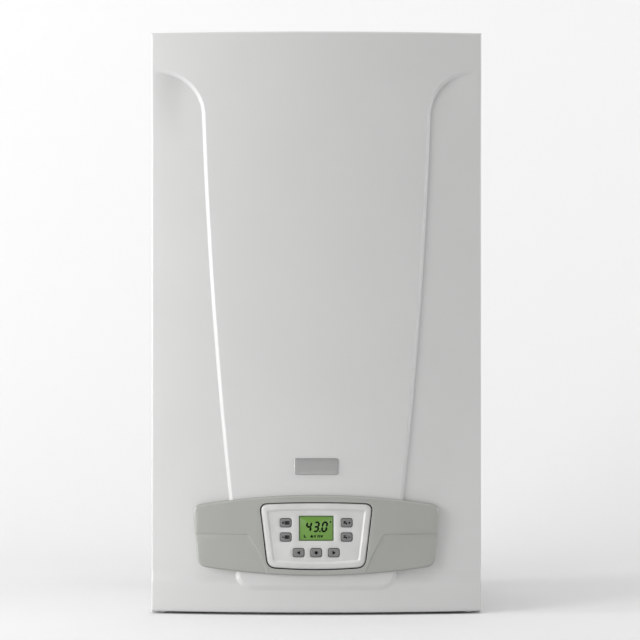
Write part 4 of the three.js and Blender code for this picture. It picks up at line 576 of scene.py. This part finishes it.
def pressed_cover():
    turn = [math.pi / 2 * step / BEND_STEPS for step in range(1, BEND_STEPS + 1)]
    low, high = COVER_LOW + SHEET_BEND, COVER_HIGH - SHEET_BEND
    rows = spaced([low, FIELD_TIP_Z - 2 * BAND, FIELD_TIP_Z, FIELD_FOOT_Z, FIELD_LOW_Z, BEND_Z],
                  [4, 9, 18, 12, 40])
    rows += [BEND_Z + BEND_R * math.sin(math.radians(a)) for a in range(3, 64, 3)]
    rows += spaced([rows[-1], BEND_Z + BEND_R, high], [7, 10])[1:]
    rows = [(low, -a) for a in reversed(turn)] + [(z, 0) for z in rows] + [(high, a) for a in turn]
    side = HALF_WIDTH - SHEET_BEND
    verts, faces = [], []
    for z, rise in rows:
        edge = [field_edge(z, out * mm) for out in LINES_OUT]
        half = spaced([0, edge[0]], [24]) + edge[1:] + spaced([edge[-1], side], [12])[1:]
        for i in range(len(half) - 2, -1, -1):
            half[i] = min(half[i], half[i + 1] - 0.12 * mm)
        half = [(x, 0) for x in half] + [(side, a) for a in turn]
        line = [(-x, -a) for x, a in reversed(half[1:])] + half
        for x, a in line:
            back = SHEET_BEND * (1 - math.cos(a) * math.cos(rise))
            verts.append((x + SHEET_BEND * math.sin(a), float(cover_y(x, z)) + back,
                          z + SHEET_BEND * math.sin(rise)))
    across = len(line)
    for r in range(len(rows) - 1):
        for c in range(across - 1):
            a = r * across + c
            faces.append((a, a + 1, a + across + 1, a + across))
    last = (len(rows) - 1) * across
    border = list(range(across - 1)) + [r * across + across - 1 for r in range(len(rows) - 1)]
    border += [last + c for c in range(across - 1, 0, -1)]
    border += [r * across for r in range(len(rows) - 1, 0, -1)]
    first = len(verts)
    verts += [(verts[v][0], RETURN_Y, verts[v][2]) for v in border]
    for i, v in enumerate(border):
        j = (i + 1) % len(border)
        faces.append((v, first + i, first + j, border[j]))
    piece = new_piece("pressed_cover", verts, faces, [ENAMEL])
    wall = piece.modifiers.new("sheet", "SOLIDIFY")
    wall.thickness = SHEET
    wall.offset = -1
    opening = prism_tool(facia_outline(FACIA_GAP + BEZEL_WALL + OPENING_CLEAR), CROWN_Y - CUT_REACH,
                         CROWN_Y + CUT_REACH)
    cut = piece.modifiers.new("control_opening", "BOOLEAN")
    cut.operation = "DIFFERENCE"
    cut.object = opening
    applied(piece)
    bpy.data.objects.remove(opening)
    return piece


cover = pressed_cover()
sharpened(cover)
ride_for(cover, "front_cover")


# ----------------------------------------------------------------------------------- control bezel
# A grey moulding that wraps the foot of the cover in two wings, with a chamfered rim, lower halves
# set back a little, and a sleeve round the opening for the facia.
GREY = (0.328, 0.333, 0.313)
FACE_Y = -149.5 * mm
BEZEL_TOP_HALF = 149 * mm
BEZEL_LOW_HALF = 142.6 * mm
BEZEL_END_TOP = 131.6 * mm
BEZEL_MID_TOP = 145 * mm
BEZEL_END_LOW = 59 * mm
BEZEL_MID_LOW = 48.2 * mm
BEZEL_CORNER = 10 * mm
RIM_IN = (0, 0.3, 1.7, 2.1)
RIM_BACK = (2.1, 1.6, 0.1, 0)
STEP_DEPTH = 0.8 * mm
STEP_WIDTH = 0.8 * mm
SEAT_GAP = 0.3 * mm
CREASE_Z = 98.4
STEP_END = 170
STEP_LEAN = 1.15
STEP_CORNERS = ((81, CREASE_Z, 3), (72.4, 83.4, 6), (66.3, 70.2, 6), (59.5, 54.4, 4), (57, 39, 0),
                (STEP_END, 39, 0), (STEP_END, CREASE_Z, 0))
LIP_IN = (0, 0.3, 0.8)
LIP_BACK = (0.45, 0.12, 0)
SLEEVE_DRAFT = 1.4 * mm
SLEEVE_DEPTH = 4 * mm
BEZEL_T = 2 * mm


def bezel_outline(inset):
    """The wings' outline: two bowed long edges, leaning ends and round corners."""
    top, low = BEZEL_TOP_HALF - inset, BEZEL_LOW_HALF - inset
    crest, shoulder = BEZEL_MID_TOP - inset, BEZEL_END_TOP - inset
    sag, foot = BEZEL_MID_LOW + inset, BEZEL_END_LOW + inset
    radius = max(BEZEL_CORNER - inset, 2 * mm)
    upper = [(top * i / 12, crest - (crest - shoulder) * (i / 12) ** 2, 0) for i in range(10, -11, -1)]
    lower = [(low * i / 12, sag + (foot - sag) * (i / 12) ** 2, 0) for i in range(-10, 11)]
    return rounded_outline([(top, shoulder, radius), *upper, (-top, shoulder, radius),
                            (-low, foot, radius), *lower, (low, foot, radius)])


def step_outline(side, inset):
    """The lower half of a wing, drawn in by `inset`."""
    top = CREASE_Z * mm - inset
    shifted = []
    for x, z, r in STEP_CORNERS:
        outer = x if x == STEP_END else x + inset / mm * STEP_LEAN
        shifted.append((side * outer * mm, top if z == CREASE_Z else z * mm, r * mm))
    return rounded_outline(shifted[::side])


def distance_to(points, loop):
    a, b = loop, np.roll(loop, -1, axis=0)
    along = b - a
    reach = points[:, None, :] - a[None]
    t = (reach * along).sum(2) / np.maximum((along * along).sum(1), 1e-15)
    return np.linalg.norm(reach - np.clip(t, 0, 1)[..., None] * along, axis=2).min(1)


def within(points, loop):
    x, z = points[:, 0][:, None], points[:, 1][:, None]
    a, b = loop, np.roll(loop, -1, axis=0)
    spans = (a[:, 1] > z) != (b[:, 1] > z)
    rise = np.where(b[:, 1] == a[:, 1], 1e-12, b[:, 1] - a[:, 1])
    cross = (b[:, 0] - a[:, 0]) * (z - a[:, 1]) / rise + a[:, 0]
    return (spans & (x < cross)).sum(1) % 2 == 1


def draped_face(edge, holes, lines, pitch, y_of):
    """A front face with holes, its mesh lined up with the given lines, laid at y_of(points)."""
    loops = [edge, *holes, *lines]
    points, segments = [], []
    for loop in loops:
        first = len(points)
        points += [tuple(p) for p in loop]
        segments += [(first + i, first + (i + 1) % len(loop)) for i in range(len(loop))]
    low, high = edge.min(0), edge.max(0)
    xs = np.arange(low[0] + pitch / 2, high[0], pitch)
    zs = np.arange(low[1] + pitch / 2, high[1], pitch)
    fill = np.array([(x, z) for x in xs for z in zs])
    keep = within(fill, edge)
    for hole in holes:
        keep &= ~within(fill, hole)
    fill = fill[keep]
    for loop in loops:
        fill = fill[distance_to(fill, loop) > 0.55 * pitch]
    points += [tuple(p) for p in fill]
    made = delaunay_2d_cdt([Vector(p) for p in points], segments, [], 0, 1e-7, False)
    flat = np.array([tuple(v) for v in made[0]])
    faces = np.array([tuple(f) for f in made[2]])
    middle = flat[faces].mean(1)
    keep = within(middle, edge)
    for hole in holes:
        keep &= ~within(middle, hole)
    y = y_of(flat)
    work = bmesh.new()
    verts = [work.verts.new((x, depth, z)) for (x, z), depth in zip(flat, y)]
    for a, b, c in faces[keep]:
        turn = np.cross(flat[b] - flat[a], flat[c] - flat[a])
        if abs(turn) > 1e-14:
            work.faces.new([verts[k] for k in ((a, b, c) if turn > 0 else (a, c, b))])
    bmesh.ops.delete(work, geom=[v for v in work.verts if not v.link_faces], context="VERTS")
    return work


def walled(work, loop, move):
    """Walls carried back from the edges that lie on a loop, to where move(x, y, z) takes them."""
    edges = [e for e in work.edges if len(e.link_faces) == 1]
    ends = np.array([(v.co.x, v.co.z) for e in edges for v in e.verts])
    near = (distance_to(ends, loop) < 0.05 * mm).reshape(-1, 2).all(1)
    chosen = [e for e, ok in zip(edges, near) if ok]
    back = {}
    for e in chosen:
        for v in e.verts:
            if v not in back:
                back[v] = work.verts.new(move(*v.co))
    for e in chosen:
        face = e.link_faces[0]
        a, b = next((l.vert, l.link_loop_next.vert) for l in face.loops if l.edge is e)
        work.faces.new([b, a, back[a], back[b]])


def sheet_piece(name, work, finish, wall):
    """A moulding of even wall thickness from its outer face."""
    mesh = bpy.data.meshes.new(name)
    work.to_mesh(mesh)
    work.free()
    mesh.materials.append(finish)
    piece = bpy.data.objects.new(name, mesh)
    bpy.context.scene.collection.objects.link(piece)
    shell = piece.modifiers.new("wall", "SOLIDIFY")
    shell.thickness = wall
    shell.offset = -1
    applied(piece)
    sharpened(piece)
    return piece


def grey_moulding():
    finish, tree, shader, place = new_finish("grey_moulding", GREY, 0.42)
    shader.inputs["Metallic"].default_value = 0.15
    mottled(tree, shader, place, GREY, 18, 0.975, 1.02)
    emboss(tree, shader, grain(tree, place, 1400, 1.0), 0.00002, 0.45)
    return finish


def control_bezel():
    edge = refined(bezel_outline(0), 3 * mm)
    opening = refined(facia_outline(FACIA_GAP), 2 * mm)
    rims = [refined(bezel_outline(d * mm), 3 * mm) for d in RIM_IN[1:]]
    lips = [refined(facia_outline(FACIA_GAP + d * mm), 2 * mm) for d in LIP_IN[1:]]
    steps = [step_outline(side, inset) for side in (-1, 1) for inset in (0, STEP_WIDTH / 2, STEP_WIDTH)]

    def y_of(points):
        rim = np.interp(distance_to(points, edge) / mm, RIM_IN, RIM_BACK) * mm
        lip = np.interp(distance_to(points, opening) / mm, LIP_IN, LIP_BACK) * mm
        back = np.zeros(len(points))
        for side in (-1, 1):
            outer = step_outline(side, 0)
            depth = STEP_DEPTH * smooth(distance_to(points, outer) / STEP_WIDTH)
            back += np.where(within(points, outer), depth, 0)
        return FACE_Y + bow_at(points[:, 0]) + rim + lip + back

    work = draped_face(edge, [opening], rims + lips + steps, 5 * mm, y_of)
    walled(work, edge, lambda x, y, z: (x, float(cover_y(x, z)) - SEAT_GAP, z))
    draft = 1 + SLEEVE_DRAFT / FACIA_TOP_HALF
    centre = (FACIA_TOP + FACIA_LOW) / 2
    sleeve_back = CROWN_Y + SLEEVE_DEPTH
    walled(work, opening, lambda x, y, z: (x * draft, sleeve_back, centre + (z - centre) * draft))
    piece = sheet_piece("bezel_moulding", work, GREY_MOULDING, BEZEL_T)
    ride_for(piece, "control_bezel")


GREY_MOULDING = grey_moulding()
control_bezel()


# -------------------------------------------------------------------------------------- bare plate
# A small satin metal plate with rounded corners, left bare. It is bent to the cover's bow and glued
# low on the middle of the raised field.
PLATE_W = 53 * mm
PLATE_H = 19.7 * mm
PLATE_T = 1.2 * mm
PLATE_Z = 179.4 * mm
PLATE_CORNER = 3 * mm
PLATE_SHEET = 0.6 * mm
PLATE_RIM_IN = (0, 0.2, 0.6, 1.2)
PLATE_RIM_BACK = (0.7, 0.3, 0.07, 0)
SATIN = (0.355, 0.355, 0.35)


def satin_plate():
    finish, tree, shader, place = new_finish("satin_plate", SATIN, 0.34, 0.55)
    stretch = tree.nodes.new("ShaderNodeMapping")
    stretch.inputs["Scale"].default_value = (2, 60, 60)
    tree.links.new(place, stretch.inputs["Vector"])
    lines = grain(tree, stretch.outputs["Vector"], 60, 3)
    tint(tree, shader, spread(tree, lines, 0, 1), shaded(SATIN, 0.93), shaded(SATIN, 1.06))
    emboss(tree, shader, lines, 0.00002, 0.3)
    return finish


def plate_outline(inset):
    w, h, r = PLATE_W / 2 - inset, PLATE_H / 2 - inset, max(PLATE_CORNER - inset, 0.5 * mm)
    return refined(rounded_outline([(-w, PLATE_Z - h, r), (w, PLATE_Z - h, r), (w, PLATE_Z + h, r),
                                    (-w, PLATE_Z + h, r)]), 3 * mm)


def bare_plate():
    edge = plate_outline(0)

    def y_of(points):
        rim = np.interp(distance_to(points, edge) / mm, PLATE_RIM_IN, PLATE_RIM_BACK) * mm
        return CROWN_Y - SEAT_GAP - PLATE_T + bow_at(points[:, 0]) + rim

    work = draped_face(edge, [], [plate_outline(d * mm) for d in PLATE_RIM_IN[1:]], 4 * mm, y_of)
    walled(work, edge, lambda x, y, z: (x, CROWN_Y - SEAT_GAP + float(bow_at(x)), z))
    piece = sheet_piece("bare_plate", work, satin_plate(), PLATE_SHEET)
    ride_for(piece, "badge_plate")


bare_plate()


# ------------------------------------------------------------------------------------- control box
# A black moulded tray and lid that tilt forward on two trunnions, with the main board and the board
# of the display inside, both of glass fibre under green solder resist.
BOARD = (0.02, 0.13, 0.05)


def solder_resist():
    finish, tree, shader, place = new_finish("solder_resist", BOARD, 0.3)
    tracks = spread(tree, grain(tree, place, 160, 1), 0, 1, 0.49, 0.51)
    tint(tree, shader, tracks, BOARD, shaded(BOARD, 1.5))
    emboss(tree, shader, grain(tree, place, 500), 0.00004, 0.4)
    return finish


SOLDER_RESIST = solder_resist()
softened("control_tray", BLACK_PLASTIC, 0.6 * mm)
softened("control_lid", BLACK_PLASTIC, 0.6 * mm)
softened("main_board", SOLDER_RESIST, 0.3 * mm)
softened("display_board", SOLDER_RESIST, 0.3 * mm)


# ------------------------------------------------------------------------------------------ facia
# The white facia: a bowed rim round a keypad that is set back behind a slope, with seven key holes
# and the display's window.
FACIA_WHITE = (0.54, 0.54, 0.53)
KEYPAD_IN = 6.6 * mm
KEYPAD_SLOPE = 2.2 * mm
KEYPAD_DEPTH = 1.6 * mm
KEYPAD_RIM_IN = (0, 0.4, 1.2, 2.6, 4.6)
KEYPAD_RIM_BACK = (2.1, 1.25, 0.65, 0.2, 0)
WINDOW_W = 41.9 * mm
WINDOW_H = 30.4 * mm
WINDOW_Z = 105.3 * mm
KEY_W = 12.9 * mm
KEY_H = 9.9 * mm
KEY_PLAY = 0.7 * mm
KEY_HOLE_W = KEY_W + 2 * KEY_PLAY
KEY_HOLE_H = KEY_H + 2 * KEY_PLAY
KEY_HOLE_LIP = 0.8 * mm
FACIA_BACK = -126.2 * mm
HOLE_DEPTH = 2.6 * mm
FACIA_T = 1.6 * mm
KEYS = {"mode": (-36.6, 111.9), "reset": (-36.6, 94.75),
        "heating": (36.6, 111.9), "hot_water": (36.6, 94.75),
        "down": (-21.1, 76), "ok": (0, 76), "up": (21.1, 76)}


def rectangle(x, z, w, h, radius, steps=6):
    return rounded_outline([(x - w / 2, z - h / 2, radius), (x + w / 2, z - h / 2, radius),
                            (x + w / 2, z + h / 2, radius), (x - w / 2, z + h / 2, radius)], steps)


def keypad_y(x):
    return FACE_Y + bow_at(x) + KEYPAD_DEPTH


def control_facia():
    edge = facia_outline(0)
    slope_out = facia_outline(-KEYPAD_IN, 4 * mm)
    slope_in = facia_outline(-KEYPAD_IN - KEYPAD_SLOPE, 2.5 * mm)
    window = rectangle(0, WINDOW_Z, WINDOW_W, WINDOW_H, 1.2 * mm)
    holes = [rectangle(x * mm, z * mm, KEY_HOLE_W, KEY_HOLE_H, 3.3 * mm) for x, z in KEYS.values()]
    rims = [facia_outline(-d * mm) for d in KEYPAD_RIM_IN[1:]]
    lips = [rectangle(x * mm, z * mm, KEY_HOLE_W + KEY_HOLE_LIP, KEY_HOLE_H + KEY_HOLE_LIP, 3.7 * mm)
            for x, z in KEYS.values()]
    frame_line = rectangle(0, WINDOW_Z, WINDOW_W + 1.2 * mm, WINDOW_H + 1.2 * mm, 1.8 * mm)
    mid = facia_outline(-KEYPAD_IN - KEYPAD_SLOPE / 2, 3.2 * mm)

    def y_of(points):
        rim = np.interp(distance_to(points, edge) / mm, KEYPAD_RIM_IN, KEYPAD_RIM_BACK) * mm
        inner = np.where(within(points, slope_out), distance_to(points, slope_out), 0)
        outer = np.where(within(points, slope_in), 0, distance_to(points, slope_in))
        slope = np.where(within(points, slope_out), inner / np.maximum(inner + outer, 1e-9), 0)
        y = FACE_Y + bow_at(points[:, 0]) + rim + KEYPAD_DEPTH * (0.7 * slope + 0.3 * smooth(slope))
        for hole in holes:
            y += np.interp(distance_to(points, hole) / mm, [0, 0.4], [0.25, 0]) * mm
        return y + np.interp(distance_to(points, window) / mm, [0, 0.6], [0.3, 0]) * mm

    lines = [*rims, slope_out, mid, slope_in, *lips, frame_line]
    work = draped_face(edge, [window, *holes], lines, 3.5 * mm, y_of)
    walled(work, edge, lambda x, y, z: (x, FACIA_BACK, z))
    for hole in [window, *holes]:
        walled(work, hole, lambda x, y, z: (x, y + HOLE_DEPTH, z))
    piece = sheet_piece("facia_moulding", work, FACIA_PLASTIC, FACIA_T)
    ride_for(piece, "control_facia")


FACIA_PLASTIC = fine_plastic("facia_plastic", FACIA_WHITE, 0.32, 0.3)
control_facia()


# ------------------------------------------------------------------------------------ display
# A green liquid crystal display set in the facia's window, showing 43.0 degrees and a row of small
# signs. The glass is one moulded block; the figures are printed on the front, and a dark ring round
# its edge is painted shade, for the shadow that the window's edge casts on it.
GLOW = (0.1, 0.21, 0.034)
INK = (0.0015, 0.005, 0.001)
LCD_Y = FACE_Y + 2.8 * mm
GLASS_BACK = -133.3 * mm
GLASS_PLAY = 0.6 * mm
EDGE_SHADE_PLAY = 1.4 * mm
PRINT_Y = LCD_Y - 0.02 * mm
ROW_SIGNS = [[(-15, 0), (-11.8, 0), (-11.8, 1.1), (-13.6, 1.1), (-13.9, 3.6), (-15, 3.6)],
             [(-7.6, 1.3), (-5.3, 3.8), (-3.4, 1.3), (-4.1, 1.3), (-4.1, 0), (-6.8, 0), (-6.8, 1.3)],
             [(-3.1, 0), (-2.2, 0), (-1.6, 3.4), (-2.5, 3.4)],
             [(-1.7, 0), (-0.8, 0), (-0.2, 3.4), (-1.1, 3.4)],
             [(1.1, 0), (2.4, 0), (3.1, 3.5), (1.8, 3.5)],
             [(3.2, 0), (4.5, 0), (5.2, 3.5), (3.9, 3.5)],
             [(5.4, 0.2), (7.2, 0.2), (8.7, 3.5), (6.7, 2.4), (5.7, 3.2)]]
DIGIT_H = 13.2 * mm
DIGIT_W = 7.4 * mm
STROKE = 2.4 * mm
SLANT = 0.16
# The dark green of the ring round the glass's edge is painted shade from the window's edge.
LCD_EDGE_SHADE = (0.045, 0.085, 0.025)
EDGE_SHADE_W = 0.9 * mm
SEGMENTS = {"0": "abcdef", "3": "abcdg", "4": "bcfg"}


def moulded_cap(name, outline_at, rings, finishes, gap_shade_bands=0):
    """A cap through rings of (inset, y), flat in front and behind; its first bands take the second
    finish, painted shade for a gap round the cap.
    """
    verts, faces = [], []
    for inset, y in rings:
        verts += [(x, y, z) for x, z in outline_at(inset)]
    count = len(verts) // len(rings)
    for r in range(len(rings) - 1):
        for i in range(count):
            j = (i + 1) % count
            faces.append((r * count + i, r * count + j, (r + 1) * count + j, (r + 1) * count + i))
    faces += [tuple(range((len(rings) - 1) * count, len(verts))), tuple(range(count - 1, -1, -1))]
    in_gap_shade = [int(i < gap_shade_bands * count) for i in range(len(faces))]
    piece = new_piece(name, verts, faces, finishes, in_gap_shade)
    sharpened(piece, 40)
    return piece


def flat_signs(name, polygons, y, thickness, finish):
    """Thin printed signs: each (x, z) polygon as a plate standing out from y."""
    verts, faces = [], []
    for polygon in polygons:
        first, count = len(verts), len(polygon)
        verts += [(x, depth, z) for depth in (y - thickness, y) for x, z in polygon]
        faces.append(tuple(first + i for i in range(count)))
        faces.append(tuple(first + 2 * count - 1 - i for i in range(count)))
        for i in range(count):
            j = (i + 1) % count
            faces.append((first + count + i, first + count + j, first + j, first + i))
    return new_piece(name, verts, faces, [finish])


def stroke_bar(x0, z0, x1, z1, width):
    """A segment with pointed ends, anticlockwise."""
    a, b = np.array((x0, z0)), np.array((x1, z1))
    along = (b - a) / np.hypot(*(b - a))
    across = np.array((-along[1], along[0])) * width / 2
    tip = along * width / 2
    return [a, a + tip - across, b - tip - across, b, b - tip + across, a + tip + across]


def digit(character, left, low):
    w, h, s = DIGIT_W - STROKE, DIGIT_H - STROKE, STROKE
    gap = 0.05 * mm
    spots = {"a": (gap, h, w - gap, h), "b": (w, h / 2 + gap, w, h - gap), "c": (w, gap, w, h / 2 - gap),
             "d": (gap, 0, w - gap, 0), "e": (0, gap, 0, h / 2 - gap), "f": (0, h / 2 + gap, 0, h - gap),
             "g": (gap, h / 2, w - gap, h / 2)}
    bars = []
    for segment in SEGMENTS[character]:
        bar = stroke_bar(*spots[segment], s)
        bars.append([(left + s / 2 + x + SLANT * z, low + s / 2 + z) for x, z in bar])
    return bars


def lcd_glass():
    finish, tree, shader, place = new_finish("lcd_glass", GLOW, 0.16)
    shader.inputs["Emission Color"].default_value = (*GLOW, 1)
    shader.inputs["Emission Strength"].default_value = 0.25
    mottled(tree, shader, place, GLOW, 60, 0.96, 1.04)
    emboss(tree, shader, grain(tree, place, 900, 1), 0.00001, 0.3)
    return finish


def matt_ink(name, colour):
    finish = fine_plastic(name, colour, 0.8, 0.1)
    finish.node_tree.nodes["Principled BSDF"].inputs["Specular IOR Level"].default_value = 0.12
    return finish


def display():
    def outline_at(inset):
        return rectangle(0, WINDOW_Z, WINDOW_W - GLASS_PLAY - 2 * inset,
                         WINDOW_H - GLASS_PLAY - 2 * inset, 1 * mm)

    rings = [(0, GLASS_BACK), (0, LCD_Y + 0.3 * mm), (0.12 * mm, LCD_Y + 0.08 * mm), (0.35 * mm, LCD_Y)]
    glass = moulded_cap("display_glass", outline_at, rings, [lcd_glass()])
    ride_for(glass, "display_module")
    low = WINDOW_Z - 4.9 * mm
    bars = digit("4", -13.6 * mm, low) + digit("3", -4.4 * mm, low) + digit("0", 5.4 * mm, low)
    dot = rectangle(4.4 * mm, low + 1 * mm, 1.9 * mm, 1.9 * mm, 0.3 * mm, 2)
    degree = rectangle(17.1 * mm, WINDOW_Z + 7.6 * mm, 2 * mm, 2 * mm, 0.7 * mm, 3)
    row = WINDOW_Z - 11.3 * mm
    small = [[(x * mm, row + z * mm) for x, z in sign] for sign in ROW_SIGNS]
    ink = matt_ink("lcd_ink", INK)
    figures = flat_signs("display_figures", [*bars, dot, degree, *small], PRINT_Y, 0.05 * mm, ink)
    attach(figures, "control_box")
    # A thin dark ring just inside the window: painted shade for the shadow of the window's edge.
    outer = rectangle(0, WINDOW_Z, WINDOW_W - EDGE_SHADE_PLAY, WINDOW_H - EDGE_SHADE_PLAY, 0.8 * mm)
    inner = rectangle(0, WINDOW_Z, WINDOW_W - EDGE_SHADE_PLAY - 2 * EDGE_SHADE_W,
                      WINDOW_H - EDGE_SHADE_PLAY - 2 * EDGE_SHADE_W, 0.5 * mm)
    count = len(outer)
    strips = [[outer[i], outer[(i + 1) % count], inner[(i + 1) % count], inner[i]] for i in range(count)]
    dark = fine_plastic("lcd_edge_shade", LCD_EDGE_SHADE, 0.3, 0.1)
    edge_shade_piece = flat_signs("display_edge_shade", strips, PRINT_Y, 0.04 * mm, dark)
    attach(edge_shade_piece, "control_box")


display()


# ------------------------------------------------------------------------------------------- keys
# Seven soft grey rubber keys with rounded edges, dished tops and printed signs. Each stands on a flange
# behind the facia, and moves straight back in its hole. The key's sides down in the hole are painted
# near black, as painted shade for the gap round it.
KEY_GREY = (0.17, 0.171, 0.167)
KEY_PROUD = 0.8 * mm
KEY_BACK = 3.4 * mm
KEY_CORNER = 3 * mm
KEY_RINGS = ((0, 1.0), (0.1, 0.6), (0.4, 0.25), (0.9, 0.05), (1.4, 0), (2.1, 0.06), (3.2, 0.18),
             (4.3, 0.22))
SIGN_T = 0.24 * mm
SIGN_SINK = 0.2 * mm
PLUS = [[(-1.5, -0.45), (1.5, -0.45), (1.5, 0.45), (-1.5, 0.45)],
        [(-0.45, 0.45), (0.45, 0.45), (0.45, 1.5), (-0.45, 1.5)],
        [(-0.45, -1.5), (0.45, -1.5), (0.45, -0.45), (-0.45, -0.45)]]
MINUS = PLUS[:1]
RADIATOR = [[(x, -2.2), (x + 1.1, -2.2), (x + 1.1, 2.2), (x, 2.2)] for x in (-2.7, -1.2, 0.3, 1.8)]
TAP = [[(-2.4, 0.4), (1.2, 0.4), (2.1, -0.4), (2.1, -2.1), (0.8, -2.1), (0.8, -0.9), (-2.4, -0.9)],
       [(-1.2, 0.4), (-0.1, 0.4), (-0.1, 1.3), (-1.2, 1.3)],
       [(-2.1, 1.3), (0.8, 1.3), (0.8, 2.1), (-2.1, 2.1)]]
DOT = [[(2 * math.cos(a), 2 * math.sin(a)) for a in (k * math.pi / 6 for k in range(12))]]
LEFT = [[(-2.4, 0), (1.6, -2.3), (1.6, 2.3)]]
RIGHT = [[(-1.6, -2.3), (2.4, 0), (-1.6, 2.3)]]
SIGNS = {"mode": [(PLUS, -3.3), (RADIATOR, 1.5)], "reset": [(MINUS, -3.3), (RADIATOR, 1.5)],
         "heating": [(TAP, -1.6), (PLUS, 3.2)], "hot_water": [(TAP, -1.6), (MINUS, 3.2)],
         "down": [(LEFT, 0)], "ok": [(DOT, 0)], "up": [(RIGHT, 0)]}


def key_pieces(name, x, z):
    x, z = x * mm, z * mm
    front = float(keypad_y(x)) - KEY_PROUD
    back = float(keypad_y(abs(x) + KEY_W / 2)) + KEY_BACK

    def outline_at(inset):
        corner = max(KEY_CORNER - inset * 0.8, 0.8 * mm)
        return rectangle(x, z, KEY_W - 2 * inset, KEY_H - 2 * inset, corner)

    rings = [(-0.5 * mm, back), (-0.5 * mm, front + 1.7 * mm), (0, front + 1.6 * mm)]
    rings += [(inset * mm, front + depth * mm) for inset, depth in KEY_RINGS]
    # The first three bands, the key's sides down in its hole, are painted near black: painted shade for
    # the dark gap round the key.
    cap = moulded_cap(f"key_{name}", outline_at, rings, [KEY_RUBBER, KEY_GAP_SHADE], 3)
    ride_for(cap, f"button_{name}")
    polygons = [[(x + (a + shift) * mm, z + b * mm) for a, b in polygon]
                for shapes, shift in SIGNS[name] for polygon in shapes]
    sign = flat_signs(f"sign_{name}", polygons, front + SIGN_SINK, SIGN_T, SIGN_INK)
    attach(sign, f"button_{name}")


KEY_RUBBER = fine_plastic("key_rubber", KEY_GREY, 0.5)
# Near black: painted shade for the gap round each key, not the rubber's own colour.
KEY_GAP_SHADE = fine_plastic("key_gap_shade", (0.012, 0.012, 0.012), 0.7)
SIGN_INK = matt_ink("sign_ink", (0.004, 0.004, 0.004))
for name, (x, z) in KEYS.items():
    key_pieces(name, x, z)
